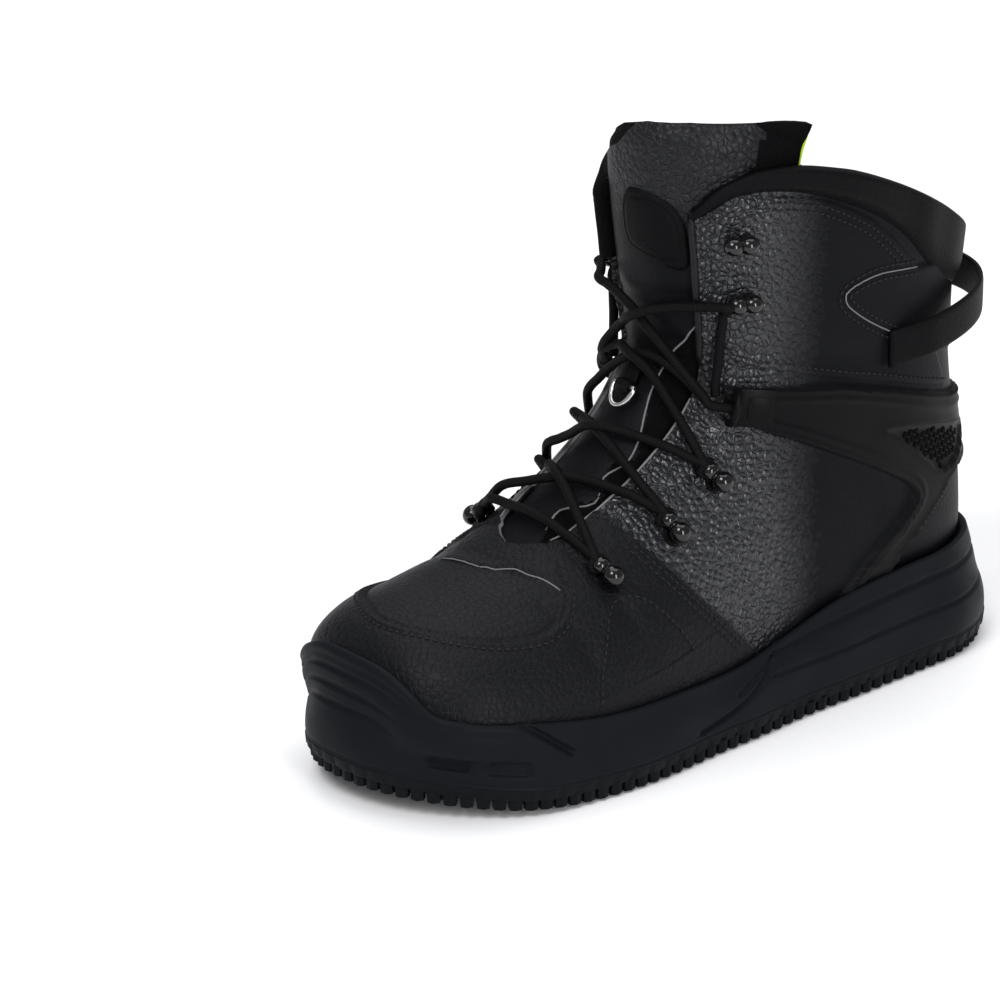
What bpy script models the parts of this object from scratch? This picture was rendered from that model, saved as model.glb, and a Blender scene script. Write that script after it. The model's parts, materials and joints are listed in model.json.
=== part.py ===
"""Lace-up wading boot for the left foot, standing empty on its sole.

Metres, +Z up, +X towards the toe, +Y towards the outer (lateral) side.
The tables below are in millimetres, with x counted from the back of the heel.
"""

import math

import bmesh
import bpy
from mathutils import Matrix, Vector
from mathutils.bvhtree import BVHTree

MM = 0.001
WELD = 2e-6

# Driving dimensions, in millimetres
BOOT_LENGTH = 318.0
BALL_HALF_WIDTH = 60.0
TOE_SPRING = 9.0
TOE_SPRING_START = 222.0
SPRING_FOLDS = (222.0, 246.0, 268.0, 286.0, 302.0)
GAP = 0.3
UPPER_WALL = 2.2
LUG_DEPTH = 5.0
OUTSOLE_TOP = 8.7
FEATHER_Z = 17.0
FOOTBED_Z = FEATHER_Z - GAP
INSOLE_THICKNESS = 4.0
TONGUE_PAD = 6.5
RIM_WALL = 3.9
LACE_RADIUS = 2.0
LACE_CLEAR = 4.3
BAR_STATION = 92.0
CROSSING_STATIONS = (103.0, 119.0, 147.0, 165.0)
AROUND = 22
SECTIONS = 21

# The last, a row for each section: the section runs from its base on the sole or heel line
# up to its top on the toe, instep or shin line, and is as wide as lateral and medial say.
LAST_COLUMNS = (
    "top_x", "top_z", "base_x", "base_z", "lateral", "medial", "widest", "ridge", "crown", "square",
)
LAST = (
    (307.0, 47.0, 308.5, 30.0, 13.0, 20.0, 0.45, -9.0, 2.0, 2.0),
    (299.0, 58.0, 305.0, 18.0, 31.0, 38.0, 0.42, -8.0, 2.1, 2.6),
    (283.0, 66.0, 290.0, 14.0, 45.0, 49.0, 0.38, -7.0, 2.2, 3.2),
    (262.0, 72.5, 266.0, 13.0, 52.0, 54.5, 0.36, -6.0, 2.1, 3.6),
    (238.0, 82.0, 236.0, 13.0, 55.0, 54.5, 0.33, -5.0, 2.0, 3.8),
    (216.0, 97.0, 202.0, 13.0, 53.5, 50.5, 0.30, -4.0, 1.9, 3.8),
    (195.0, 115.0, 164.0, 13.0, 49.0, 45.0, 0.30, -3.0, 1.9, 3.4),
    (179.0, 133.0, 122.0, 13.0, 45.0, 42.5, 0.34, -2.0, 2.0, 3.0),
    (171.5, 150.0, 82.0, 13.0, 43.5, 42.0, 0.40, -1.0, 2.1, 2.7),
    (173.0, 166.0, 47.0, 13.5, 43.0, 42.0, 0.45, 0.0, 2.2, 2.5),
    (176.0, 180.0, 24.0, 18.0, 43.0, 42.0, 0.48, 0.0, 2.2, 2.4),
    (178.5, 191.0, 13.0, 33.0, 43.0, 42.0, 0.50, 0.0, 2.2, 2.3),
    (180.0, 200.0, 12.5, 56.0, 43.0, 42.0, 0.50, 0.0, 2.2, 2.3),
    (181.0, 208.0, 16.0, 82.0, 43.5, 42.5, 0.50, 0.0, 2.2, 2.3),
    (181.5, 215.0, 20.5, 106.0, 44.0, 43.0, 0.50, 0.0, 2.2, 2.3),
    (182.0, 222.0, 23.0, 130.0, 44.5, 43.5, 0.50, 0.0, 2.2, 2.3),
    (182.0, 230.0, 23.0, 151.0, 45.0, 44.0, 0.50, 0.0, 2.2, 2.3),
    (181.5, 239.0, 21.0, 171.0, 45.5, 44.5, 0.50, 0.0, 2.2, 2.3),
    (180.0, 251.0, 18.0, 196.0, 46.0, 45.0, 0.50, 0.0, 2.2, 2.3),
    (178.0, 267.0, 15.0, 230.0, 46.0, 45.0, 0.50, 0.0, 2.2, 2.3),
)

# Plan of the sole: half-widths each side of its centreline, a row for each station
SOLE_COLUMNS = ("x", "centre", "lateral", "medial")
SOLE_PLAN = (
    (0.0, 0.0, 43.0, 43.0),
    (48.0, 0.0, 47.0, 46.0),
    (120.0, 2.0, 48.5, 43.5),
    (165.0, 2.0, 53.0, 49.0),
    (218.0, 0.0, 60.0, 58.5),
    (262.0, -2.0, 59.5, 58.0),
    (318.0, -10.0, 52.0, 48.0),
)
HEEL_CAP = (52.0, 2.3)
TOE_CAP = (72.0, 2.35)

# Height of the midsole's upper edge, the rim, along the boot
RIM_LINE = (
    (-20.0, 44.5), (10.0, 44.5), (40.0, 44.5), (72.0, 45.0), (108.0, 42.0), (136.0, 35.5), (158.0, 31.5),
    (200.0, 31.5), (240.0, 33.0), (266.0, 35.0), (282.0, 35.5), (294.0, 36.0), (301.0, 37.5), (306.0, 43.0),
    (310.0, 46.5), (340.0, 48.0),
)
# Side of the midsole block: share of its height, and how far the wall stands in
MIDSOLE_SIDE = ((0.0, 1.2), (0.14, 0.0), (0.44, 0.3), (0.52, 1.9), (0.62, 1.1), (1.0, 2.6))
MIDSOLE_BLOCK_TOP = 27.5
# How much steeper or flatter the wall stands along the boot: it leans in most at the heel
WALL_SLOPE = ((0.0, 2.7), (12.0, 2.4), (60.0, 1.0), (280.0, 1.0), (318.0, 1.7))

# Side view of the collar's edge, and of the lower edges of the padded collar and the heel frame
COLLAR_LINE = (
    (-30.0, 160.0), (18.0, 166.0), (34.0, 177.0), (52.0, 189.0), (84.0, 206.5), (114.0, 218.5),
    (138.0, 223.5), (154.0, 222.0), (165.0, 216.0), (173.0, 206.0), (230.0, 168.0),
)
COLLAR_PAD_EDGE = (
    (-30.0, 144.0), (24.0, 148.0), (42.0, 155.0), (56.0, 166.0), (78.0, 187.0), (112.0, 206.5),
    (138.0, 212.5), (150.0, 211.0), (159.0, 205.0), (166.0, 196.0), (230.0, 150.0),
)
COLLAR_PAD = 4.2
HEEL_FRAME_OUTLINE = (
    (-30.0, 97.0), (26.0, 102.0), (60.0, 117.0), (109.0, 132.0), (152.0, 139.0), (158.0, 132.0),
    (148.0, 121.0), (100.0, 98.0), (70.0, 80.0), (67.0, 73.0), (91.0, 54.0), (116.0, 34.0), (92.0, 34.0),
    (73.0, 51.0), (44.0, 64.0), (26.0, 71.0), (-30.0, 76.0),
)
HEEL_FRAME = 2.4
MUDGUARD_EDGE = (
    (236.0, 130.0), (212.0, 96.0), (198.0, 80.0), (173.0, 53.0), (148.0, 24.0), (400.0, 24.0), (400.0, 130.0),
)
MUDGUARD = 1.3
VAMP_PLUG = ((212.0, 24.0), (232.0, 28.0), (250.0, 35.0), (270.0, 33.0), (288.0, 26.0), (299.0, 12.0))

# Throat of the upper: height on the instep line, half-width of the opening, depth of the cut
THROAT_COLUMNS = ("top_z", "half", "depth")
THROAT = (
    (86.0, 11.0, 10.0), (91.0, 17.0, 16.0), (100.0, 19.0, 20.0), (115.0, 21.0, 24.0), (133.0, 22.0, 26.0),
    (150.0, 23.0, 28.0), (166.0, 23.5, 30.0), (180.0, 24.0, 32.0), (200.0, 24.5, 34.0), (222.0, 25.0, 36.0),
    (267.0, 26.0, 40.0),
)
TONGUE = (
    (83.0, 18.0, 14.0), (91.0, 24.0, 22.0), (115.0, 28.0, 30.0), (150.0, 31.0, 36.0), (180.0, 34.0, 42.0),
    (210.0, 38.0, 52.0), (235.0, 42.0, 64.0), (267.0, 43.0, 66.0),
)
# Height of the tongue's top edge across the boot: y, z
TONGUE_TOP = ((-90.0, 199.0), (0.0, 244.5), (90.0, 238.0))

# Lower hooks: height of their section on the instep line, and reach from it to each side
LOWER_HOOKS = ((93.5, 39.0, 36.0), (115.0, 38.5, 37.0), (133.5, 36.0, 36.0))
UPPER_HOOKS = ((152.0, 173.5), (155.0, 198.0))
HOOK_REACH = 6.4
LACE_LOOP_X = 154.0
LACE_LOOP_Z = 131.0

LUG_PITCH_X = 16.2
LUG_PITCH_Y = 15.4
LUG_LENGTH = 12.2
LUG_WIDTH = 11.4
LUG_TAPER = 0.86
LUG_EDGE = 6.6

PULL_LOOP_HEIGHT = 15.0
PULL_LOOP_THICK = 2.4
PULL_LOOP_STANDOFF = 8.5
PULL_LOOP_Z = 141.0
PULL_LOOP_RISE = 6.0
PULL_LOOP_SWEEP = 112.0

RING_STATION = 135.0
RING_RADIUS = 5.8
RING_WIRE = 1.0
RING_TAB_WIDTH = 7.6
RING_SLEEVE = 2.4
RING_TAB_LIFT = 1.5

BADGE_STATION = 205.0
BADGE_Y = 9.0
BADGE_RADIUS = 13.0
BADGE_THICK = 1.8

LACE_LOOP_RADIUS = 6.5
LACE_LOOP_WIRE = 1.5

DRAIN_EYELETS = ((128.0, 50.0), (152.0, 47.0))

COLOURS = {
    "rubber": ((0.018, 0.019, 0.021), 0.62, 0.0),
    "foam": ((0.022, 0.024, 0.028), 0.58, 0.0),
    "leather": ((0.020, 0.020, 0.023), 0.45, 0.0),
    "smooth_leather": ((0.017, 0.018, 0.020), 0.52, 0.0),
    "moulded": ((0.016, 0.017, 0.019), 0.55, 0.0),
    "fabric": ((0.010, 0.010, 0.012), 0.85, 0.0),
    "black_metal": ((0.010, 0.011, 0.012), 0.16, 0.7),
    "steel": ((0.60, 0.60, 0.58), 0.25, 1.0),
    "lace": ((0.012, 0.012, 0.013), 0.75, 0.0),
}


# Scene and mesh helpers

def clear_scene():
    for obj in list(bpy.data.objects):
        bpy.data.objects.remove(obj)


def make_collection(name):
    collection = bpy.data.collections.new(name)
    bpy.context.scene.collection.children.link(collection)
    return collection


def make_material(name):
    colour, roughness, metallic = COLOURS[name]
    material = bpy.data.materials.new(name)
    material.use_nodes = True
    shader = material.node_tree.nodes["Principled BSDF"]
    shader.inputs["Base Color"].default_value = (*colour, 1.0)
    shader.inputs["Roughness"].default_value = roughness
    shader.inputs["Metallic"].default_value = metallic
    return material


def world(x, y, z):
    """A point of the tables, in millimetres from the heel, as a point of the part in metres."""
    return Vector(((x - BOOT_LENGTH / 2) * MM, y * MM, z * MM))


def mesh_object(name, bm, collection):
    bmesh.ops.remove_doubles(bm, verts=bm.verts, dist=1e-7)
    bmesh.ops.recalc_face_normals(bm, faces=bm.faces)
    mesh = bpy.data.meshes.new(name)
    bm.to_mesh(mesh)
    bm.free()
    obj = bpy.data.objects.new(name, mesh)
    collection.objects.link(obj)
    return obj


def loft(rings, close_ends=True):
    """A closed skin over rings of points, each ring with the same number of points."""
    bm = bmesh.new()
    rows = [[bm.verts.new(p) for p in ring] for ring in rings]
    count = len(rows[0])
    for lower, upper in zip(rows, rows[1:]):
        for i in range(count):
            j = (i + 1) % count
            bm.faces.new((lower[i], lower[j], upper[j], upper[i]))
    if close_ends:
        bm.faces.new(rows[0])
        bm.faces.new(rows[-1])
    return bm


def prism_y(outline, reach=90.0):
    """A side-view outline, in table millimetres, drawn out across the whole boot."""
    return loft([[world(x, y, z) for x, z in outline] for y in (-reach, reach)])


def combine(target, tool, operation):
    """Runs one Boolean and keeps its result as the target's mesh. The tool is used up."""
    modifier = target.modifiers.new(operation, "BOOLEAN")
    modifier.operation = operation
    modifier.object = tool
    bpy.context.view_layer.update()
    graph = bpy.context.evaluated_depsgraph_get()
    mesh = bpy.data.meshes.new_from_object(target.evaluated_get(graph))
    target.modifiers.clear()
    target.data = mesh
    bpy.data.objects.remove(tool)
    return target


def lift_toe(point):
    """The toe spring: everything forward of the ball rises along a parabola."""
    start = TOE_SPRING_START - BOOT_LENGTH / 2
    run = max(0.0, point.x / MM - start) / (BOOT_LENGTH - TOE_SPRING_START)
    return Vector((point.x, point.y, point.z + TOE_SPRING * MM * run * run))


def finish_piece(obj, material, flat=False):
    """Bends the piece with the toe spring, tidies its mesh and gives it its finish."""
    bm = bmesh.new()
    bm.from_mesh(obj.data)
    bmesh.ops.remove_doubles(bm, verts=bm.verts, dist=WELD)
    bmesh.ops.dissolve_limit(bm, angle_limit=math.radians(0.3), verts=bm.verts, edges=bm.edges)
    for x in SPRING_FOLDS if flat else ():
        geometry = bm.verts[:] + bm.edges[:] + bm.faces[:]
        bmesh.ops.bisect_plane(bm, geom=geometry, dist=1e-6, plane_co=world(x, 0.0, 0.0), plane_no=(1.0, 0.0, 0.0))
    bmesh.ops.triangulate(bm, faces=bm.faces)
    for vert in bm.verts:
        vert.co = lift_toe(vert.co)
    bm.to_mesh(obj.data)
    bm.free()
    obj.data.materials.clear()
    obj.data.materials.append(make_material(material) if material not in bpy.data.materials
                              else bpy.data.materials[material])
    obj.data.shade_smooth()
    obj.data.set_sharp_from_angle(angle=math.radians(40))
    obj.parent = BOOT
    return obj


# Tables read as smooth curves

def hermite(a, b, slope_a, slope_b, t):
    t2, t3 = t * t, t * t * t
    return (a * (2 * t3 - 3 * t2 + 1) + slope_a * (t3 - 2 * t2 + t)
            + b * (3 * t2 - 2 * t3) + slope_b * (t3 - t2))


def smooth_row(rows, place):
    """The table's row at a fractional index, on a Catmull-Rom curve through the rows."""
    index = min(int(place), len(rows) - 2)
    t = place - index
    before, a = rows[max(index - 1, 0)], rows[index]
    b, after = rows[index + 1], rows[min(index + 2, len(rows) - 1)]
    return [hermite(p, q, (q - o) / 2, (r - p) / 2, t) for o, p, q, r in zip(before, a, b, after)]


def along(table, x):
    """Values of a table at x, its first column, with smooth steps between rows."""
    if x <= table[0][0]:
        return list(table[0][1:])
    for low, high in zip(table, table[1:]):
        if x <= high[0]:
            t = (x - low[0]) / (high[0] - low[0])
            t = t * t * (3 - 2 * t)
            return [p + (q - p) * t for p, q in zip(low[1:], high[1:])]
    return list(table[-1][1:])


def smooth_line(points, steps=2):
    """Points of an open outline with a smooth curve between them."""
    count = (len(points) - 1) * steps
    return [tuple(smooth_row(points, i / steps)) for i in range(count + 1)]


# The last, from which the upper and all that lies on it is cut

def last_section(place):
    row = dict(zip(LAST_COLUMNS, smooth_row(LAST, place)))
    base = Vector((row["base_x"], 0.0, row["base_z"]))
    top = Vector((row["top_x"], 0.0, row["top_z"]))
    return row, base, top


def section_ring(place):
    row, base, top = last_section(place)
    rise = top - base
    points = []
    for i in range(AROUND):
        angle = 2 * math.pi * i / AROUND
        c, s = math.cos(angle), math.sin(angle)
        power = row["crown"] if s > 0 else row["square"]
        across = math.copysign(abs(c) ** (2 / power), c)
        up = abs(s) ** (2 / power)
        share = row["widest"] + (1 - row["widest"]) * up if s > 0 else row["widest"] * (1 - up)
        side = row["lateral"] if c > 0 else row["medial"]
        y = side * across + row["ridge"] * max(share, 0.0)
        at = base + rise * share
        points.append(world(at.x, y, at.z))
    return points


def last_mesh():
    """The closed outer form of the upper, with a pole at the toe and a lid far above the collar."""
    places = [i * (len(LAST) - 1) / (SECTIONS - 1) for i in range(SECTIONS)]
    bm = loft([section_ring(p) for p in places], close_ends=False)
    bm.verts.ensure_lookup_table()
    toe = [bm.verts[i] for i in range(AROUND)]
    lid = [bm.verts[len(bm.verts) - AROUND + i] for i in range(AROUND)]
    middle = sum((v.co for v in toe), Vector()) / AROUND
    pole = bm.verts.new(middle + Vector((1.6 * MM, 0.0, 0.0)))
    for i in range(AROUND):
        bm.faces.new((toe[i], pole, toe[(i + 1) % AROUND]))
    bm.faces.new(lid)
    bmesh.ops.recalc_face_normals(bm, faces=bm.faces)
    return bm


def form(inflate):
    """The last moved out along its own normals by so many millimetres, as a cutter or a blank."""
    bm = last_mesh()
    bm.normal_update()
    moved = [v.co + v.normal * inflate * MM for v in bm.verts]
    for vert, place in zip(bm.verts, moved):
        vert.co = place
    bmesh.ops.triangulate(bm, faces=bm.faces)
    return mesh_object(f"form_{inflate:+.1f}", bm, CUTTERS)


def on_last(origin, direction):
    """Where a ray from outside meets the last, and the outward normal there."""
    hit, normal, _, _ = LAST_TREE.ray_cast(origin, direction)
    if hit is None:
        raise ValueError(f"no surface on the ray from {origin}")
    return hit, normal if normal.dot(direction) < 0 else -normal


def instep_place(top_z):
    """The section whose top stands at this height on the instep line."""
    low, high = 0.0, len(LAST) - 1.0
    for _ in range(40):
        middle = (low + high) / 2
        if smooth_row(LAST, middle)[1] < top_z:
            low = middle
        else:
            high = middle
    return low


def across_instep(top_z, y):
    """A point on the last beside the instep line, y millimetres from the ridge, and its normal."""
    row, base, top = last_section(instep_place(top_z))
    rise = (top - base).normalized()
    start = top + rise * 40
    return on_last(world(start.x, y + row["ridge"], start.z), -rise)


def side_point(x, z, side):
    """A point on the last at x and z, on the lateral (+1) or medial (-1) side, and its normal."""
    return on_last(world(x, 90.0 * side, z), Vector((0.0, -side, 0.0)))


def band(name, inner, outer, region):
    """A layer of the upper between two larger forms, within a region."""
    layer = combine(form(outer), form(inner), "DIFFERENCE")
    layer.name = name
    layer.data.name = name
    combine(layer, region, "INTERSECT")
    PARTS.objects.link(layer)
    CUTTERS.objects.unlink(layer)
    return layer


# Sole unit

def end_cap(x):
    heel_run, heel_power = HEEL_CAP
    toe_run, toe_power = TOE_CAP
    if x < heel_run:
        return (1 - min(1.0, (heel_run - x) / heel_run) ** heel_power) ** (1 / heel_power)
    if x > BOOT_LENGTH - toe_run:
        return (1 - min(1.0, (x - BOOT_LENGTH + toe_run) / toe_run) ** toe_power) ** (1 / toe_power)
    return 1.0


def sole_ring(z, inset, count=36):
    """The sole's outline at a height, moved in by inset, as points of the part."""
    half = BOOT_LENGTH / 2
    points = []
    for i in range(count):
        angle = 2 * math.pi * i / count
        spread = math.copysign(abs(math.cos(angle)) ** 0.8, math.cos(angle))
        x = half + half * spread
        centre, lateral, medial = along(SOLE_PLAN, x)
        side = lateral if math.sin(angle) >= 0 else -medial
        y = centre + side * end_cap(x)
        points.append(Vector((x, y, z)))
    moved = []
    for i, point in enumerate(points):
        run = points[(i + 1) % count] - points[i - 1]
        inward = Vector((-run.y, run.x, 0.0)).normalized()
        moved.append(world(*(point + inward * inset * along(WALL_SLOPE, point.x)[0])))
    return moved


def inside_sole(x, y, inset):
    if not inset < x < BOOT_LENGTH - inset:
        return False
    centre, lateral, medial = along(SOLE_PLAN, x)
    side = lateral if y > centre else medial
    return abs(y - centre) < side * end_cap(x) - inset


def lug_places():
    """Centres of the main lugs, on a staggered grid that fills the sole's outline."""
    columns = int(BOOT_LENGTH / LUG_PITCH_X)
    rows = int(2 * BALL_HALF_WIDTH / LUG_PITCH_Y) + 2
    start = (BOOT_LENGTH - (columns - 1) * LUG_PITCH_X) / 2
    for column in range(columns):
        x = start + column * LUG_PITCH_X
        for row in range(-rows // 2, rows // 2 + 1):
            y = (row + 0.5 * (column % 2)) * LUG_PITCH_Y
            corners = [(x + sx * LUG_LENGTH / 2, y + sy * LUG_WIDTH / 2) for sx in (-1, 1) for sy in (-1, 1)]
            if all(inside_sole(cx, cy, LUG_EDGE - LUG_WIDTH / 2) for cx, cy in corners):
                yield x, y


def make_outsole():
    plate = mesh_object("outsole", loft([
        sole_ring(LUG_DEPTH, 1.0), sole_ring(LUG_DEPTH + 1.2, 0.0), sole_ring(OUTSOLE_TOP, 0.0),
    ]), PARTS)
    lugs = bmesh.new()
    for x, y in lug_places():
        made = bmesh.ops.create_cube(lugs, size=1.0)
        for vert in made["verts"]:
            share = LUG_TAPER if vert.co.z < 0 else 1.0
            vert.co = world(x + vert.co.x * LUG_LENGTH * share, y + vert.co.y * LUG_WIDTH * share,
                            0.0 if vert.co.z < 0 else LUG_DEPTH + 1.0)
    combine(plate, mesh_object("lugs", lugs, CUTTERS), "UNION")
    return finish_piece(plate, "rubber", flat=True)


def rim_region(raise_by=0.0):
    """Side-view region below the rim line, down past the footbed."""
    line = [(x, z + raise_by) for x, z in smooth_line(RIM_LINE)]
    return prism_y([(-20.0, FOOTBED_Z - 2.0)] + line + [(340.0, FOOTBED_Z - 2.0)])


def make_midsole():
    floor = OUTSOLE_TOP + GAP
    height = MIDSOLE_BLOCK_TOP - floor
    rings = [sole_ring(floor + share * height, inset) for share, inset in MIDSOLE_SIDE]
    block = mesh_object("midsole", loft(rings), PARTS)
    cup = combine(form(RIM_WALL), mesh_object("rim", rim_region(), CUTTERS), "INTERSECT")
    combine(block, cup, "UNION")
    cavity = form(GAP)
    keep = [(-60.0, FOOTBED_Z), (380.0, FOOTBED_Z), (380.0, 300.0), (-60.0, 300.0)]
    combine(cavity, mesh_object("above_footbed", prism_y(keep), CUTTERS), "INTERSECT")
    combine(block, cavity, "DIFFERENCE")
    return finish_piece(block, "foam", flat=True)


def make_insole():
    low, high = FEATHER_Z, FEATHER_Z + INSOLE_THICKNESS
    slab = [(-60.0, low), (380.0, low), (380.0, high), (-60.0, high)]
    insole = combine(form(-UPPER_WALL - GAP), mesh_object("slab", prism_y(slab), CUTTERS), "INTERSECT")
    insole.name = "insole"
    CUTTERS.objects.unlink(insole)
    PARTS.objects.link(insole)
    return finish_piece(insole, "fabric", flat=True)


# Upper and what is sewn to it

def throat_cutter(name, margin, rows, inward, outward):
    """A ribbon along the instep line, as wide as the throat plus a margin each side."""
    rings = []
    for top_z, half, depth in rows:
        row, base, top = last_section(instep_place(top_z))
        rise = (top - base).normalized()
        wide = half + margin
        ridge = row["ridge"]
        low = top - rise * (depth + inward)
        high = top + rise * outward
        rings.append([
            world(low.x, ridge - wide, low.z), world(low.x, ridge + wide, low.z),
            world(high.x, ridge + wide, high.z), world(high.x, ridge - wide, high.z),
        ])
    return mesh_object(name, loft(rings), CUTTERS)


def above_collar():
    line = smooth_line(COLLAR_LINE)
    return mesh_object("above_collar", prism_y(line + [(200.0, 320.0), (-30.0, 320.0)]), CUTTERS)


def make_upper():
    upper = combine(form(0.0), form(-UPPER_WALL), "DIFFERENCE")
    upper.name = "upper"
    below = [(-60.0, -20.0), (380.0, -20.0), (380.0, FEATHER_Z), (-60.0, FEATHER_Z)]
    combine(upper, mesh_object("below_feather", prism_y(below), CUTTERS), "DIFFERENCE")
    combine(upper, above_collar(), "DIFFERENCE")
    combine(upper, throat_cutter("throat", 0.0, THROAT, 0.0, 30.0), "DIFFERENCE")
    for x, z in DRAIN_EYELETS:
        combine(upper, eyelet_cylinder(x, z, 3.0, 8.0, 8.0, CUTTERS), "DIFFERENCE")
    CUTTERS.objects.unlink(upper)
    PARTS.objects.link(upper)
    return finish_piece(upper, "leather")


def make_collar_pad():
    edge = smooth_line(COLLAR_PAD_EDGE)
    line = smooth_line(COLLAR_LINE)
    region = mesh_object("collar_region", prism_y(edge + line[::-1]), CUTTERS)
    pad = band("collar_pad", GAP, COLLAR_PAD, region)
    combine(pad, throat_cutter("pad_throat", 1.0, THROAT, 4.0, 40.0), "DIFFERENCE")
    return finish_piece(pad, "smooth_leather")


def make_heel_frame():
    region = mesh_object("frame_region", prism_y(HEEL_FRAME_OUTLINE), CUTTERS)
    frame = band("heel_frame", GAP, HEEL_FRAME, region)
    above_rim = mesh_object("frame_rim", rim_region(GAP), CUTTERS)
    combine(frame, above_rim, "DIFFERENCE")
    return finish_piece(frame, "moulded")


def make_mudguard():
    region = mesh_object("guard_region", prism_y(MUDGUARD_EDGE), CUTTERS)
    guard = band("mudguard", GAP, MUDGUARD + GAP, region)
    right = [(x, half) for x, half in smooth_line(VAMP_PLUG)]
    plan = right + [(x, -half) for x, half in reversed(right)]
    ridge = LAST[3][LAST_COLUMNS.index("ridge")]
    plug = loft([[world(x, y + ridge, z) for x, y in plan] for z in (50.0, 140.0)])
    combine(guard, mesh_object("plug", plug, CUTTERS), "DIFFERENCE")
    combine(guard, throat_cutter("guard_throat", 1.0, THROAT, 4.0, 40.0), "DIFFERENCE")
    combine(guard, mesh_object("guard_rim", rim_region(GAP), CUTTERS), "DIFFERENCE")
    return finish_piece(guard, "smooth_leather")


def make_tongue():
    region = throat_cutter("tongue_region", 0.0, TONGUE, 6.0, 30.0)
    tongue = band("tongue", -UPPER_WALL - GAP - TONGUE_PAD, -UPPER_WALL - GAP, region)
    above = [(-60.0, 0.0), (380.0, 0.0), (380.0, 100.0), (-60.0, 100.0)]
    rings = [[world(x, y, height + z) for x, z in above] for y, height in TONGUE_TOP]
    combine(tongue, mesh_object("tongue_top", loft(rings), CUTTERS), "DIFFERENCE")
    return finish_piece(tongue, "leather")


def eyelet_cylinder(x, z, radius, inward, outward, collection, name="eyelet_hole"):
    """A round bar through the medial wall, along the wall's own normal."""
    point, normal = side_point(x, z, -1)
    bm = bmesh.new()
    length = (inward + outward) * MM
    bmesh.ops.create_cone(bm, cap_ends=True, segments=14, radius1=radius * MM, radius2=radius * MM, depth=length)
    middle = point + normal * (outward - inward) / 2 * MM
    turn = normal.to_track_quat("Z", "Y").to_matrix().to_4x4()
    bmesh.ops.transform(bm, matrix=Matrix.Translation(middle) @ turn, verts=bm.verts)
    return mesh_object(name, bm, collection)


def make_drain_eyelets():
    for number, (x, z) in enumerate(DRAIN_EYELETS, 1):
        ring = eyelet_cylinder(x, z, 5.6, -0.5, 1.6, PARTS, f"drain_eyelet_{number}")
        combine(ring, eyelet_cylinder(x, z, 2.6, 8.0, 8.0, CUTTERS), "DIFFERENCE")
        finish_piece(ring, "steel")


# Hardware and laces

def ball(bm, centre, radius, segments=7, rings=4):
    made = bmesh.ops.create_uvsphere(bm, u_segments=segments, v_segments=rings, radius=radius * MM)
    bmesh.ops.translate(bm, vec=centre, verts=made["verts"])


def fused_balls(name, balls):
    """Overlapping round knobs joined into one closed piece."""
    piece = None
    for centre, radius in balls:
        bm = bmesh.new()
        ball(bm, centre, radius)
        knob = mesh_object(name, bm, PARTS if piece is None else CUTTERS)
        piece = knob if piece is None else combine(piece, knob, "UNION")
    return piece


def lower_hook_spots(side):
    """Rivet and saddle of each lower hook, with the wall's normal."""
    for station, lateral, medial in LOWER_HOOKS:
        rivet, normal = across_instep(station, lateral if side > 0 else -medial)
        inward = Vector((0.0, -side, 0.0))
        inward = (inward - normal * inward.dot(normal)).normalized()
        yield rivet, rivet + inward * HOOK_REACH * MM, normal


def make_lower_hooks():
    for side, word in ((1, "lateral"), (-1, "medial")):
        for number, (rivet, saddle, normal) in enumerate(lower_hook_spots(side), 1):
            lift = normal * MM
            hook = fused_balls(f"lace_hook_{word}_{number}", (
                (rivet + lift * 6.2, 4.2), (saddle + lift * 5.0, 3.1),
            ))
            finish_piece(hook, "black_metal")


def upper_hook_spots(side):
    for x, height in UPPER_HOOKS:
        yield side_point(x, height, side)


def make_upper_hooks():
    for side, word in ((1, "lateral"), (-1, "medial")):
        for number, (point, normal) in enumerate(upper_hook_spots(side), 1):
            run = Vector((0.0, 0.0, 1.0)).cross(normal).normalized()
            lift = normal * MM
            hook = fused_balls(f"speed_hook_{word}_{number}", (
                (point + lift * 5.2 + run * 3.0 * MM, 3.6), (point + lift * 5.2 - run * 3.0 * MM, 3.6),
            ))
            finish_piece(hook, "black_metal")


def tube(name, points, radius, cyclic=False):
    """A round cord through points, as a closed mesh."""
    curve = bpy.data.curves.new(name, "CURVE")
    curve.dimensions = "3D"
    curve.bevel_depth = radius * MM
    curve.bevel_resolution = 1
    curve.use_fill_caps = True
    spline = curve.splines.new("POLY")
    spline.points.add(len(points) - 1)
    spline.use_cyclic_u = cyclic
    for spot, place in zip(spline.points, points):
        spot.co = (*place, 1.0)
    obj = bpy.data.objects.new(name, curve)
    CUTTERS.objects.link(obj)
    bpy.context.view_layer.update()
    mesh = bpy.data.meshes.new_from_object(obj.evaluated_get(bpy.context.evaluated_depsgraph_get()))
    bm = bmesh.new()
    bm.from_mesh(mesh)
    bpy.data.objects.remove(obj)
    return mesh_object(name, bm, CUTTERS)


def lace_run(start, end, station, steps=5):
    """A strand from one hook to another over a height on the instep line, held clear of the last."""
    ridge, out = across_instep(station, 0.0)
    bow = ridge + out * LACE_CLEAR * MM - (start + end) / 2
    points = []
    for i in range(steps + 1):
        point = start.lerp(end, i / steps) + bow * math.sin(math.pi * i / steps)
        for _ in range(3):
            nearest, normal, _, _ = LAST_TREE.find_nearest(point)
            short = LACE_CLEAR * MM - (point - nearest).dot(normal)
            point = point + normal * max(0.0, short)
        points.append(point)
    return points


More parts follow.
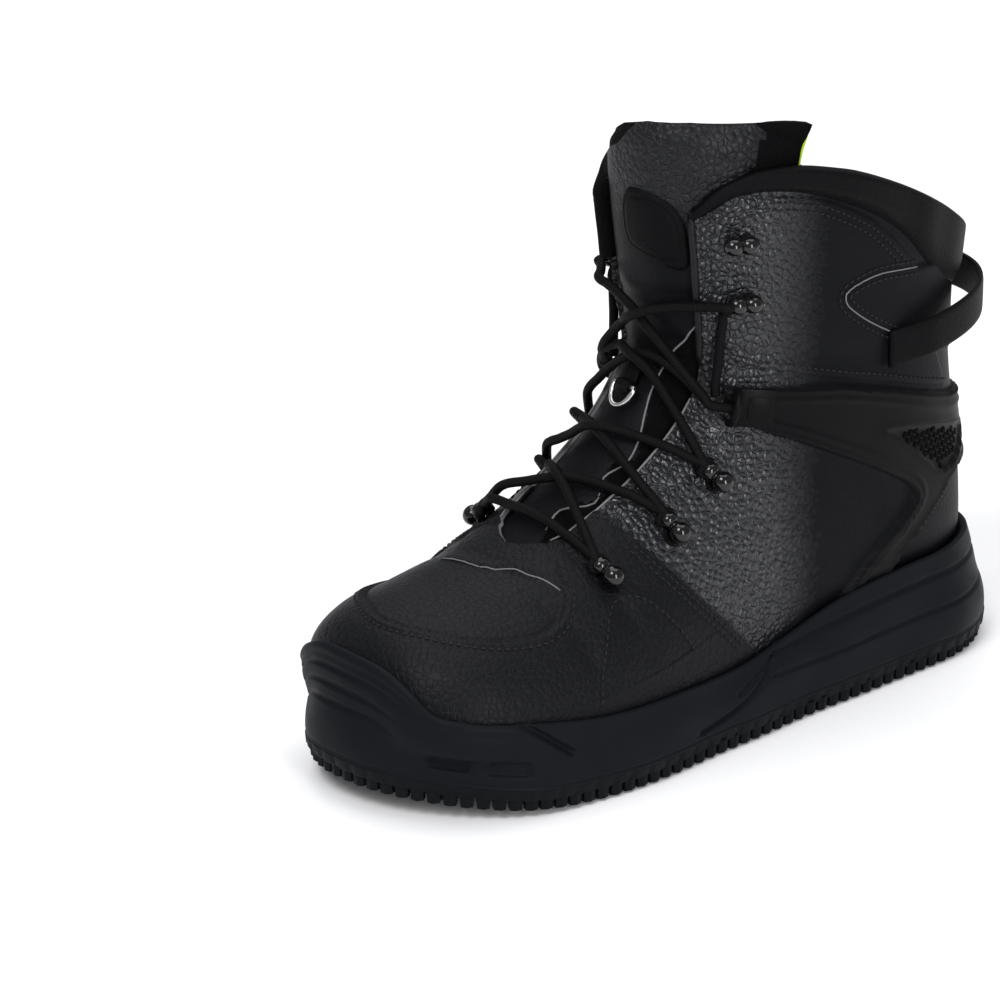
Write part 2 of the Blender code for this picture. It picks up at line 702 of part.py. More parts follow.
def lace_ends():
    """Where the strands leave each side's hooks, from the lowest up."""
    ends = {}
    for side in (1, -1):
        spots = []
        for rivet, saddle, normal in lower_hook_spots(side):
            inward = (saddle - rivet).normalized()
            spots.append(saddle + inward * 5.8 * MM + normal * 5.6 * MM)
        keeper, normal = side_point(LACE_LOOP_X + 9.0, LACE_LOOP_Z + 1.0, side)
        spots.append(keeper + normal * 6.5 * MM)
        hook, normal = list(upper_hook_spots(side))[0]
        front = Vector((1.0, 0.0, 0.0))
        spots.append(hook + normal * 5.0 * MM + front * 9.4 * MM)
        ends[side] = spots
    return ends


def make_lace():
    """The bar over the throat's foot and the crossings above it, joined where they share a hook."""
    ends = lace_ends()
    lace = tube("lace", lace_run(ends[-1][0], ends[1][0], BAR_STATION), LACE_RADIUS)
    for number, station in enumerate(CROSSING_STATIONS):
        for side in (1, -1):
            path = lace_run(ends[side][number], ends[-side][number + 1], station)
            combine(lace, tube("strand", path, LACE_RADIUS), "UNION")
    CUTTERS.objects.unlink(lace)
    PARTS.objects.link(lace)
    return finish_piece(lace, "lace")


def make_pull_loop():
    """A strap that stands off the back of the heel as a handle, sewn on both sides."""
    steps = 16
    rings = []
    for i in range(steps + 1):
        angle = math.radians(PULL_LOOP_SWEEP * (2 * i / steps - 1))
        bulge = max(0.0, math.cos(angle * 90 / PULL_LOOP_SWEEP))
        z = PULL_LOOP_Z + PULL_LOOP_RISE * bulge
        outward = Vector((-math.cos(angle), math.sin(angle), 0.0))
        hit, _ = on_last(world(66.0, 0.0, z) + outward * 0.15, -outward)
        off = 0.6 + COLLAR_PAD * min(1.0, 3 * bulge) + PULL_LOOP_STANDOFF * bulge * bulge
        tilt = Vector((0.0, 0.0, 1.0)) * PULL_LOOP_HEIGHT / 2 * MM
        inner = hit + outward * off * MM
        outer = inner + outward * PULL_LOOP_THICK * MM
        rings.append([inner - tilt, outer - tilt, outer + tilt, inner + tilt])
    return finish_piece(mesh_object("pull_loop", loft(rings), PARTS), "smooth_leather")


def make_lace_loops():
    """A stout loop on each front end of the heel frame, for the lace to run through."""
    for side, word in ((1, "lateral"), (-1, "medial")):
        point, normal = side_point(LACE_LOOP_X, LACE_LOOP_Z, side)
        upright = Vector((-0.35, 0.0, 1.0))
        upright = (upright - normal * upright.dot(normal)).normalized()
        points = []
        for i in range(9):
            angle = math.pi * i / 8
            out = HEEL_FRAME + 0.6 + LACE_LOOP_RADIUS * math.sin(angle)
            points.append(point + (upright * LACE_LOOP_RADIUS * math.cos(angle) + normal * out) * MM)
        loop = tube(f"lace_loop_{word}", points, LACE_LOOP_WIRE)
        CUTTERS.objects.unlink(loop)
        PARTS.objects.link(loop)
        finish_piece(loop, "moulded")


def tongue_axes(station):
    """A point on the tongue's face on the instep line, the way down along it and the way out."""
    upper_point, _ = across_instep(station + 4, 0.0)
    lower_point, _ = across_instep(station - 4, 0.0)
    down = lower_point - upper_point
    down.y = 0.0
    down.normalize()
    out = Vector((-down.z, 0.0, down.x))
    middle = (upper_point + lower_point) / 2
    return middle - out * (UPPER_WALL + GAP) * MM, down, out


def bar_along_y(name, centre, radius, length, segments, collection):
    bm = bmesh.new()
    bmesh.ops.create_cone(bm, cap_ends=True, segments=segments, radius1=radius * MM, radius2=radius * MM,
                          depth=length * MM)
    turn = Matrix.Translation(centre) @ Matrix.Rotation(math.pi / 2, 4, "X")
    bmesh.ops.transform(bm, matrix=turn, verts=bm.verts)
    return mesh_object(name, bm, collection)


def make_ring():
    """The wire ring in its folded tab. The tab's fold is the sleeve that the ring turns in."""
    face, down, out = tongue_axes(RING_STATION)
    hinge = face + out * (RING_SLEEVE + RING_TAB_LIFT) * MM
    tab = bar_along_y("ring_tab", hinge, RING_SLEEVE, RING_TAB_WIDTH, 14, PARTS)
    bm = bmesh.new()
    bmesh.ops.create_cube(bm, size=1.0)
    scale = Matrix.Diagonal((8.0 * MM, (RING_TAB_WIDTH - 0.4) * MM, 1.6 * MM, 1.0))
    axes = Matrix((down, Vector((0.0, 1.0, 0.0)), out)).transposed().to_4x4()
    middle = hinge - down * 5.7 * MM - out * (RING_SLEEVE - 1.2) * MM
    bmesh.ops.transform(bm, matrix=Matrix.Translation(middle) @ axes @ scale, verts=bm.verts)
    combine(tab, mesh_object("tab_plate", bm, CUTTERS), "UNION")
    hole = bar_along_y("sleeve", hinge, RING_WIRE + 0.4, RING_TAB_WIDTH + 4, 14, CUTTERS)
    combine(tab, hole, "DIFFERENCE")
    finish_piece(tab, "smooth_leather")
    points = []
    for i in range(15):
        angle = math.pi * i / 14
        points.append(hinge + Vector((0.0, RING_RADIUS * math.cos(angle) * MM, 0.0))
                      + down * RING_RADIUS * 1.4 * math.sin(angle) * MM)
    ring = tube("ring", points, RING_WIRE, cyclic=True)
    CUTTERS.objects.unlink(ring)
    PARTS.objects.link(ring)
    return finish_piece(ring, "black_metal")


def make_badge():
    """A plain raised patch on the tongue's face."""
    face, down, out = tongue_axes(BADGE_STATION)
    bm = bmesh.new()
    bmesh.ops.create_cone(bm, cap_ends=True, segments=20, radius1=BADGE_RADIUS * MM, radius2=BADGE_RADIUS * MM,
                          depth=40 * MM)
    turn = out.to_track_quat("Z", "Y").to_matrix().to_4x4()
    middle = face + Vector((0.0, BADGE_Y * MM, 0.0))
    bmesh.ops.transform(bm, matrix=Matrix.Translation(middle) @ turn, verts=bm.verts)
    inner = -UPPER_WALL
    badge = band("tongue_badge", inner, inner + BADGE_THICK, mesh_object("badge_region", bm, CUTTERS))
    return finish_piece(badge, "fabric")


# The boot

clear_scene()
PARTS = make_collection("wading_boot")
CUTTERS = make_collection("cutters")
BOOT = bpy.data.objects.new("boot", None)
PARTS.objects.link(BOOT)
LAST_TREE = BVHTree.FromBMesh(last_mesh())

make_outsole()
make_midsole()
make_insole()
make_upper()
make_collar_pad()
make_heel_frame()
make_mudguard()
make_tongue()
make_drain_eyelets()
make_lower_hooks()
make_upper_hooks()
make_lace_loops()
make_pull_loop()
make_ring()
make_badge()
make_lace()
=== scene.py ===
"""Looks of the wading boot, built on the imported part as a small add-on.

Tables are in millimetres, with x counted from the back of the heel and z from the floor, before the
toe spring is bent in. Each operator builds one group of pieces, and main() calls them in turn.
"""

import json
import math

import bmesh
import bpy
import numpy as np
from bpy.props import FloatProperty, FloatVectorProperty, IntProperty, PointerProperty
from mathutils import Matrix, Vector
from mathutils.bvhtree import BVHTree


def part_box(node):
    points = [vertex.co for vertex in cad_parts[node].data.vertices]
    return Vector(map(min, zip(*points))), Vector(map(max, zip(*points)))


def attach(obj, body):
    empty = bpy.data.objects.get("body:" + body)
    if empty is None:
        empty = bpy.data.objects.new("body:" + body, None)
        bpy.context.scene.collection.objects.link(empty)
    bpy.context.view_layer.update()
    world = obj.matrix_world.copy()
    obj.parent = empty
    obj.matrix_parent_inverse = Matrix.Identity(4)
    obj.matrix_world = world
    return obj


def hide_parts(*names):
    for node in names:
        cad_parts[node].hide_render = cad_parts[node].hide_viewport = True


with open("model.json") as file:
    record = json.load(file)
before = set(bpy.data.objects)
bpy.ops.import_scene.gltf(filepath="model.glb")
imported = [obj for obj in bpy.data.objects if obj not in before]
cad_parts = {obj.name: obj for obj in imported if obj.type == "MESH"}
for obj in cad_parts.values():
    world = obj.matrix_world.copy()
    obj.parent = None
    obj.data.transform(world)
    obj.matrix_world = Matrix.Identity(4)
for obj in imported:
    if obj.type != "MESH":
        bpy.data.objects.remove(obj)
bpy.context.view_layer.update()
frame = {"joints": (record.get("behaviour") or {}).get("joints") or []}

bl_info = {
    "name": "Wading boot looks",
    "version": (1, 0, 0),
    "blender": (4, 5, 0),
    "location": "View3D > Sidebar > Boot",
    "description": "Builds the visible pieces of a lace-up wading boot on its packed part",
    "category": "Object",
}

MM = 0.001
HEEL_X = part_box("outsole")[0][0] / MM
LENGTH = (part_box("outsole")[1][0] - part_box("outsole")[0][0]) / MM
SPRING = 9.0
SPRING_START = 222.0
WALL = 2.2
RIM_WALL = 3.9
FLOOR_TOP = 9.0
# Sections of the last, from the toe up to the collar: top x and z, bottom x and z, lateral and medial
# half-width, share of the height where it is widest, lean of the top, roundness above and below that
LAST = np.array((
    (307.0, 47.0, 308.5, 30.0, 13.0, 20.0, 0.45, -9.0, 2.0, 2.0),
    (299.0, 58.0, 305.0, 18.0, 31.0, 38.0, 0.42, -8.0, 2.1, 2.6),
    (283.0, 66.0, 290.0, 14.0, 45.0, 49.0, 0.38, -7.0, 2.2, 3.2),
    (262.0, 72.5, 266.0, 13.0, 52.0, 54.5, 0.36, -6.0, 2.1, 3.6),
    (238.0, 82.0, 236.0, 13.0, 55.0, 54.5, 0.33, -5.0, 2.0, 3.8),
    (216.0, 97.0, 202.0, 13.0, 53.5, 50.5, 0.30, -4.0, 1.9, 3.8),
    (195.0, 115.0, 164.0, 13.0, 49.0, 45.0, 0.30, -3.0, 1.9, 3.4),
    (179.0, 133.0, 122.0, 13.0, 45.0, 42.5, 0.34, -2.0, 2.0, 3.0),
    (171.5, 150.0, 82.0, 13.0, 43.5, 42.0, 0.40, -1.0, 2.1, 2.7),
    (173.0, 166.0, 47.0, 13.5, 43.0, 42.0, 0.45, 0.0, 2.2, 2.5),
    (176.0, 180.0, 24.0, 18.0, 43.0, 42.0, 0.48, 0.0, 2.2, 2.4),
    (178.5, 191.0, 13.0, 33.0, 43.0, 42.0, 0.50, 0.0, 2.2, 2.3),
    (180.0, 200.0, 12.5, 56.0, 43.0, 42.0, 0.50, 0.0, 2.2, 2.3),
    (181.0, 208.0, 16.0, 82.0, 43.5, 42.5, 0.50, 0.0, 2.2, 2.3),
    (181.5, 215.0, 20.5, 106.0, 44.0, 43.0, 0.50, 0.0, 2.2, 2.3),
    (182.0, 222.0, 23.0, 130.0, 44.5, 43.5, 0.50, 0.0, 2.2, 2.3),
    (182.0, 230.0, 23.0, 151.0, 45.0, 44.0, 0.50, 0.0, 2.2, 2.3),
    (181.5, 239.0, 21.0, 171.0, 45.5, 44.5, 0.50, 0.0, 2.2, 2.3),
    (180.0, 251.0, 18.0, 196.0, 46.0, 45.0, 0.50, 0.0, 2.2, 2.3),
    (178.0, 267.0, 15.0, 230.0, 46.0, 45.0, 0.50, 0.0, 2.2, 2.3),
))
# Sole in plan: x, centreline, lateral and medial half-width; the caps give each end's length and roundness
SOLE_PLAN = np.array((
    (0.0, 0.0, 43.0, 43.0), (48.0, 0.0, 47.0, 46.0), (120.0, 2.0, 48.5, 43.5), (165.0, 2.0, 53.0, 49.0),
    (218.0, 0.0, 60.0, 58.5), (262.0, -2.0, 59.5, 58.0), (318.0, -10.0, 52.0, 48.0),
))
HEEL_CAP = (52.0, 2.3)
TOE_CAP = (72.0, 2.35)
# How much the midsole's wall leans in along x
WALL_SLOPE = ((0.0, 2.7), (12.0, 2.4), (60.0, 1.0), (280.0, 1.0), (318.0, 1.7))
# Edges in side view (x, z): the midsole's rim, the collar and the lower edge of its pad
RIM_LINE = (
    (-20.0, 44.5), (10.0, 44.5), (40.0, 44.5), (72.0, 45.0), (108.0, 42.0), (136.0, 35.5), (158.0, 31.5),
    (200.0, 31.5), (240.0, 33.0), (266.0, 35.0), (282.0, 35.5), (294.0, 36.0), (301.0, 37.5),
    (306.0, 43.0), (310.0, 46.5), (340.0, 48.0),
)
COLLAR_LINE = (
    (-30.0, 160.0), (18.0, 166.0), (34.0, 177.0), (52.0, 189.0), (84.0, 206.5), (114.0, 218.5),
    (138.0, 223.5), (154.0, 222.0), (165.0, 216.0), (173.0, 206.0), (230.0, 168.0),
)
PAD_EDGE = (
    (-30.0, 144.0), (24.0, 148.0), (42.0, 155.0), (56.0, 166.0), (78.0, 187.0), (112.0, 207.0),
    (138.0, 215.5), (150.0, 216.5), (159.0, 214.5), (166.0, 209.0), (230.0, 160.0),
)
# Half-widths of the throat and the tongue by height on the instep line, and the tongue's top (y, z)
THROAT = (
    (83.5, 0.0), (85.0, 7.0), (87.0, 12.0), (91.0, 17.0), (100.0, 19.0), (115.0, 21.0), (133.0, 22.0),
    (150.0, 23.0), (166.0, 23.5), (180.0, 24.0), (200.0, 24.5), (222.0, 25.0), (267.0, 26.0),
)
TONGUE = (
    (83.0, 18.0), (91.0, 24.0), (115.0, 28.0), (150.0, 31.0), (180.0, 34.0), (210.0, 38.0),
    (235.0, 43.0), (267.0, 44.8),
)
TONGUE_TOP = ((-90.0, 199.0), (-22.0, 231.5), (-8.0, 238.5), (6.0, 242.0), (24.0, 243.0), (90.0, 238.0))

# Seams and panels in side view (x, z)
VAMP_SEAM = (
    (214.0, 103.0), (204.0, 90.0), (193.5, 77.0), (181.0, 62.5), (170.0, 51.3), (159.6, 40.5),
    (144.0, 22.0),
)
ARCH_SEAM = ((239.0, 37.0), (236.0, 47.8), (230.0, 59.0), (224.7, 66.9), (219.4, 70.4), (213.6, 71.1),
             (207.7, 68.7), (201.0, 62.3), (194.0, 53.4), (189.0, 45.0))
FRAME_TOP = (
    (157.0, 139.0), (150.7, 138.0), (131.5, 135.6), (108.0, 131.7), (81.0, 124.0), (42.5, 110.8),
    (-20.0, 96.0),
)
FRAME_LOW = (
    (157.0, 131.0), (145.0, 120.0), (129.0, 112.9), (98.6, 97.7), (74.0, 83.8), (66.3, 77.3),
    (65.4, 73.2), (74.5, 65.6), (90.6, 54.1), (103.3, 42.0), (118.0, 28.0),
)
FRAME_REAR = ((92.0, 28.0), (71.0, 50.5), (48.5, 67.4), (34.6, 76.4), (-20.0, 82.0))
MESH_WINDOW = ((85.4, 107.5), (65.0, 104.0), (30.0, 93.5), (30.0, 84.0), (46.9, 79.5), (64.5, 92.4))
CUFF = (
    (166.6, 161.7), (169.0, 190.0), (171.0, 211.0), (166.0, 214.0), (158.0, 212.5), (143.7, 214.5),
    (125.0, 211.0), (112.0, 205.5), (96.0, 196.5), (85.0, 187.5), (74.0, 177.0), (68.0, 170.7),
    (89.7, 173.3), (103.4, 171.4), (108.3, 168.4), (106.4, 163.5), (95.0, 154.8), (78.3, 145.4),
    (52.0, 132.3), (42.5, 113.5), (81.0, 126.5), (107.0, 134.0), (131.6, 141.5), (153.9, 148.5),
)
VEE = (
    (40.0, 166.0), (68.0, 170.7), (89.7, 173.3), (103.4, 171.4), (108.3, 168.4), (106.4, 163.5),
    (95.0, 154.8), (78.3, 145.4), (52.0, 132.3), (-20.0, 116.0), (-20.0, 166.0),
)
# Toe plug in plan (x, y), lateral half; the medial half mirrors it about the ridge
PLUG = (
    (293.5, -8.0), (292.0, 2.0), (283.6, 18.0), (273.0, 28.0), (258.7, 34.4), (248.4, 36.1),
    (240.3, 33.6), (234.0, 26.8), (229.8, 17.2), (227.0, 10.0),
)
PLUG_RIDGE = -7.0
# Flap over the vamp in plan
FLAP = (
    (250.0, -26.0), (250.0, -12.5), (248.0, -2.0), (243.0, 7.0), (240.0, 16.0), (236.0, 27.0),
    (200.0, 30.0), (200.0, -40.0),
)
# Where the leather on the tongue ends, towards the lateral side (station, share of the half-width)
TONGUE_LEATHER = (
    (83.0, 0.55), (97.0, 0.30), (104.0, 0.62), (112.0, 0.42), (118.0, 0.60), (126.0, 0.48),
    (135.0, 0.33), (150.0, 0.40), (166.0, 0.62), (190.0, 0.80), (225.0, 0.84), (262.0, 0.92),
)

# Lower hooks: height on the instep line, distance from it on the lateral and the medial side
LOWER_HOOKS = ((93.5, 39.0, 36.0), (115.0, 38.5, 37.0), (133.5, 36.0, 36.0))
HOOK_REACH = 6.4
UPPER_HOOKS = ((152.0, 173.5), (155.0, 198.0))
LACE_LOOP = (154.0, 131.0)
CROSSINGS = (103.0, 119.0, 147.0, 165.0)
BAR_STATION = 92.0
DRAIN_EYELETS = ((128.0, 50.0), (152.0, 47.0))
PULL_LOOP = {"height": 15.0, "thick": 2.4, "standoff": 8.5, "z": 141.0, "rise": 6.0, "sweep": 112.0}
LUGS = {"pitch_x": 16.2, "pitch_y": 15.4, "length": 12.2, "width": 11.4, "edge": 6.6, "depth": 5.0}
CAMERA = {"turn": 40.0, "rise": 21.5, "distance": 2.0, "focal_px": 5300.0, "target": (0.084, 0.0, 0.105)}

# Gloss of the leather, from where it is smooth to where it is pebbled
GLOSS = (0.05, 0.09, 0.14, 0.19, 0.25, 0.32, 0.39, 0.48)

# How far the padded edge is moved where it goes on along the collar's medial edge
PADDED_LIFT = (0.0, 0.0, -4.5)
# Edges beside the throat: name, column of the skin, from and to height, lift, radius, finish
THROAT_EDGES = (
    ("rolled_edge", 0, 146.0, 214.0, -0.5, 1.5, "leather_3"),
    ("padded_edge", -1, 179.0, 214.0, 0.4, 3.8, "textile"),
    # The two cut edges below are pale as a painted highlight of light catching them
    ("cut_edge_lateral", 0, 87.0, 138.0, 0.0, 0.45, "lit_cut_edge"),
    ("cut_edge_medial", -1, 87.0, 138.0, 0.0, 0.45, "lit_cut_edge"),
)
# Creases in side view: line, depth, width
CREASES = (
    (((228.0, 92.0), (222.0, 78.0), (216.0, 62.0), (212.0, 50.0)), 0.7, 4.0),
    (((246.0, 82.0), (242.0, 68.0), (238.0, 54.0), (236.0, 44.0)), 0.6, 4.5),
    (((172.0, 140.0), (150.0, 150.0), (118.0, 146.0), (84.0, 136.0)), 0.8, 5.0),
    (((148.0, 118.0), (128.0, 104.0), (104.0, 90.0), (86.0, 74.0)), 0.7, 6.0),
    (((196.0, 92.0), (176.0, 92.0), (156.0, 86.0), (132.0, 84.0)), 0.5, 5.0),
    (((60.0, 186.0), (44.0, 176.0), (26.0, 164.0)), 0.8, 4.0),
)

# How far each panel stands out from the last or is sunk into it
RAISED = {"plug_bead": 0.7, "plug_groove": 0.5, "flap": 0.9, "arch": 0.35, "cuff": 0.9, "vee": 1.3,
          "window": 1.5, "window_rim": 0.5, "guard_line": 0.15}
# How much of the pebbles each area loses; the loss also darkens the base colour, as painted shade at the rear
# and the lower rear
SMOOTHED = {"guard": 0.81, "rear": 0.94, "vee": 0.75, "lower_rear": 0.7, "least": 0.06}
SKIN_LOW = 22.0
LINING_LOW = 17.5
CUT_EDGE_TOP = 145.0
# Creases across the tongue: height, depth
TONGUE_CREASES = ((132.0, 0.8), (151.0, 0.9), (171.0, 0.7))
TONGUE_FACE = {"front": 2.5, "back": 9.0, "leather": 0.7}
COLLAR = {"bulge": 4.1, "roll": 3.6, "over": 2.6, "inside": 3.2, "fold": 0.35, "full_band": 11.0}
HOOK = {"base": 4.8, "base_top": 4.2, "post": 2.4, "knob": 4.2, "saddle": 3.1, "bridge": 2.3,
        "toe": 2.2, "toe_top": 1.8}
QUICK_HOOK = {"knob": 4.1, "apart": 3.0, "lift": 5.2, "bridge": 2.6, "foot": 3.4}
RING_WIRE = 1.0
TOE_TIP = np.array((1.6, 0.0, 0.0))
THREAD_LIFT = 0.25
ABOVE_TOE = 140.0
LACE_CLEAR = {"least": 2.1, "hooks": 1.7, "crossing": 3.4, "medial": 3.4}
PATCH = {"height": 205.0, "half": 13.0, "power": 3.4, "rise": 1.9, "groove": 0.80}
PITS = {"x": 24.0, "z": 76.0, "pitch_x": 3.3, "pitch_z": 2.86, "rows": 14, "columns": 26, "margin": 1.6}


def colour(name, *value):
    return FloatVectorProperty(name=name, subtype="COLOR", size=3, default=value)


class BootSizes(bpy.types.PropertyGroup):
    """Sizes of the fine detail, in millimetres, and the segments round a hook."""

    stitch_pitch: FloatProperty(name="Stitch pitch", default=3.1)
    stitch_length: FloatProperty(name="Stitch length", default=2.3)
    stitch_radius: FloatProperty(name="Stitch radius", default=0.36)
    lace_radius: FloatProperty(name="Lace radius", default=1.9)
    panel_step: FloatProperty(name="Panel step", default=1.0)
    frame_step: FloatProperty(name="Heel frame step", default=2.2)
    pebble_size: FloatProperty(name="Pebble size", default=2.9)
    hook_segments: IntProperty(name="Hook segments", default=28)


class BootColours(bpy.types.PropertyGroup):
    """Colours of the boot and its stage, linear."""

    leather: colour("Pebbled leather", 0.0060, 0.0063, 0.0078)
    smooth: colour("Smooth leather", 0.0020, 0.0021, 0.0026)
    rubber: colour("Rubber", 0.0044, 0.0051, 0.0064)
    midsole: colour("Midsole", 0.0048, 0.0056, 0.0074)
    moulded: colour("Moulded frame", 0.0032, 0.0033, 0.0038)
    textile: colour("Textile", 0.0024, 0.0024, 0.0029)
    thread: colour("Thread", 0.0190, 0.0190, 0.0210)
    lace: colour("Lace", 0.0036, 0.0036, 0.0040)
    hardware: colour("Hooks", 0.003, 0.003, 0.0035)
    piping: colour("Lime piping", 0.33, 0.52, 0.02)
    # Painted highlight: cut leather edges are pale to stand in for light catching them
    lit_cut_edge: colour("Cut leather edge", 0.150, 0.150, 0.152)
    floor: colour("Floor", 0.90, 0.90, 0.91)


# Shape: the last and the sole as functions

def spring(points):
    """Bends the toe spring into points of the tables."""
    out = np.array(points, dtype=float)
    run = np.clip(out[..., 0] - SPRING_START, 0.0, None) / (LENGTH - SPRING_START)
    out[..., 2] += SPRING * run * run
    return out


def place(points):
    """Points of the tables as points of the part, in metres."""
    out = spring(points)
    out[..., 0] += HEEL_X
    return out * MM


def rows_at(table, index):
    """Rows of a table at fractional indices, on a Catmull-Rom curve through them."""
    index = np.asarray(index, dtype=float)
    low = np.clip(index.astype(int), 0, len(table) - 2)
    t = (index - low)[..., None]
    o, p = table[np.maximum(low - 1, 0)], table[low]
    q, r = table[low + 1], table[np.minimum(low + 2, len(table) - 1)]
    a, b = (q - o) / 2, (r - p) / 2
    t2, t3 = t * t, t * t * t
    return p * (2 * t3 - 3 * t2 + 1) + a * (t3 - 2 * t2 + t) + q * (3 * t2 - 2 * t3) + b * (t3 - t2)


def curve_at(points, x):
    """Height of a smooth line through points at x: a monotone cubic along its first column."""
    table = np.array(points, dtype=float)
    xs, ys = table[:, 0], table[:, 1]
    slope = np.gradient(ys, xs)
    x = np.clip(np.asarray(x, dtype=float), xs[0], xs[-1])
    i = np.clip(np.searchsorted(xs, x) - 1, 0, len(xs) - 2)
    h = xs[i + 1] - xs[i]
    t = (x - xs[i]) / h
    t2, t3 = t * t, t * t * t
    return (ys[i] * (2 * t3 - 3 * t2 + 1) + slope[i] * h * (t3 - 2 * t2 + t)
            + ys[i + 1] * (3 * t2 - 2 * t3) + slope[i + 1] * h * (t3 - t2))


def last_points(index, angle):
    """Points of the last on the sections at index, at angles round them (90 degrees is the ridge)."""
    index, angle = np.broadcast_arrays(np.asarray(index, float), np.asarray(angle, float))
    row = np.moveaxis(rows_at(LAST, index), -1, 0)
    top_x, top_z, low_x, low_z, lateral, medial, wide, lean, above, below = row
    c, s = np.cos(angle), np.sin(angle)
    blend = np.clip(0.5 + s * 6, 0, 1)
    power = below + (above - below) * blend
    across = np.sign(c) * np.abs(c) ** (2 / power)
    up = np.abs(s) ** (2 / power)
    share = np.where(s > 0, wide + (1 - wide) * up, wide * (1 - up))
    side = np.where(c > 0, lateral, medial)
    y = side * across + lean * np.maximum(share, 0)
    x = low_x + (top_x - low_x) * share
    z = low_z + (top_z - low_z) * share
    return np.stack((x, y, z), axis=-1)


def index_at_height(top_z):
    """Index of the section whose top stands at this height on the instep line."""
    grid = np.linspace(0, len(LAST) - 1, 2000)
    return np.interp(top_z, rows_at(LAST, grid)[:, 1], grid)


def angle_beside_ridge(index, y):
    """Angle on a section where it stands y to the lateral (+) or medial (-) side of its ridge."""
    row = rows_at(LAST, index)
    side = np.where(y >= 0, row[..., 4], row[..., 5])
    lean = np.arcsin(np.clip(np.abs(y) / side, 0, 0.999) ** (row[..., 8] / 2))
    return np.pi / 2 - np.sign(y) * lean


def grid_normals(points):
    """Outward normals of a grid of points whose columns run round the last clockwise from above."""
    du = np.gradient(points, axis=0)
    dv = np.gradient(points, axis=1)
    normal = np.cross(dv, du)
    normal /= np.maximum(np.linalg.norm(normal, axis=-1, keepdims=True), 1e-9)
    return normal


def end_cap(x):
    """Share of the full width near the heel's and the toe's round ends."""
    heel = np.clip((HEEL_CAP[0] - x) / HEEL_CAP[0], 0, 1) ** HEEL_CAP[1]
    toe = np.clip((x - LENGTH + TOE_CAP[0]) / TOE_CAP[0], 0, 1) ** TOE_CAP[1]
    return np.maximum(1 - heel, 0) ** (1 / HEEL_CAP[1]) * np.maximum(1 - toe, 0) ** (1 / TOE_CAP[1])


def sole_half_widths(x):
    """Centreline, lateral and medial half-widths of the sole, with smooth steps between rows."""
    x = np.clip(np.asarray(x, float), 0, LENGTH)
    xs = SOLE_PLAN[:, 0]
    i = np.clip(np.searchsorted(xs, x) - 1, 0, len(xs) - 2)
    t = (x - xs[i]) / (xs[i + 1] - xs[i])
    t = (t * t * (3 - 2 * t))[..., None]
    return SOLE_PLAN[i, 1:] * (1 - t) + SOLE_PLAN[i + 1, 1:] * t


def sole_outline(count):
    """Outline of the sole in plan, evenly spaced, with its inward normals."""
    angle = np.linspace(0, 2 * np.pi, 4000, endpoint=False)
    spread = np.sign(np.cos(angle)) * np.abs(np.cos(angle)) ** 0.8
    x = LENGTH / 2 * (1 + spread)
    widths = sole_half_widths(x)
    side = np.where(np.sin(angle) >= 0, widths[:, 1], -widths[:, 2])
    points = np.stack((x, widths[:, 0] + side * end_cap(x)), axis=1)
    step = np.linalg.norm(np.roll(points, -1, axis=0) - points, axis=1)
    length = np.concatenate(([0], np.cumsum(step)))
    closed = np.vstack((points, points[:1]))
    at = np.linspace(0, length[-1], count, endpoint=False)
    even = np.stack([np.interp(at, length, closed[:, k]) for k in range(2)], axis=1)
    for _ in range(6):
        even = (np.roll(even, 1, axis=0) + 2 * even + np.roll(even, -1, axis=0)) / 4
    run = np.roll(even, -1, axis=0) - np.roll(even, 1, axis=0)
    inward = np.stack((-run[:, 1], run[:, 0]), axis=1)
    return even, inward / np.linalg.norm(inward, axis=1, keepdims=True)


# Distances to seams

def line_distance(px, pz, line):
    """Distance of points from an open line in the same plane."""
    best = np.full(np.shape(px), 1e9)
    for (ax, az), (bx, bz) in zip(line, line[1:]):
        dx, dz = bx - ax, bz - az
        t = np.clip(((px - ax) * dx + (pz - az) * dz) / max(dx * dx + dz * dz, 1e-9), 0, 1)
        best = np.minimum(best, np.hypot(px - ax - t * dx, pz - az - t * dz))
    return best


def panel_depth(px, pz, outline):
    """How far points lie inside a closed outline: positive inside, negative outside."""
    closed = list(outline) + [outline[0]]
    inside = np.zeros(np.shape(px), dtype=bool)
    for (ax, az), (bx, bz) in zip(closed, closed[1:]):
        if az == bz:
            continue
        crosses = (az > pz) != (bz > pz)
        inside ^= crosses & (px < ax + (pz - az) * (bx - ax) / (bz - az))
    distance = line_distance(px, pz, closed)
    return np.where(inside, distance, -distance)


def smooth_points(points, steps=6):
    """More points on a smooth line through some."""
    table = np.array(points, dtype=float)
    return rows_at(table, np.linspace(0, len(table) - 1, (len(table) - 1) * steps + 1))


def step(value, low, high):
    """A smooth step from 0 at low to 1 at high."""
    t = np.clip((value - low) / (high - low), 0, 1)
    return t * t * (3 - 2 * t)


def ridge(distance, width):
    """A rounded bead of unit height along a line."""
    return np.clip(1 - (distance / width) ** 2, 0, 1) ** 1.5


# Mesh helpers

def mesh_from(name, bm, *materials):
    """A mesh from a bmesh, which it frees."""
    mesh = bpy.data.meshes.new(name)
    bm.to_mesh(mesh)
    bm.free()
    for material in materials:
        mesh.materials.append(material)
    return mesh


def grid_faces(points, closed):
    """Corner numbers of the faces over a grid of points, closed round its columns or open."""
    rows, columns = points.shape[:2]
    ids = np.arange(rows * columns).reshape(rows, columns)
    right = np.roll(ids, -1, axis=1) if closed else ids[:, 1:]
    left = ids if closed else ids[:, :-1]
    return np.stack((left[:-1], right[:-1], right[1:], left[1:]), axis=-1)


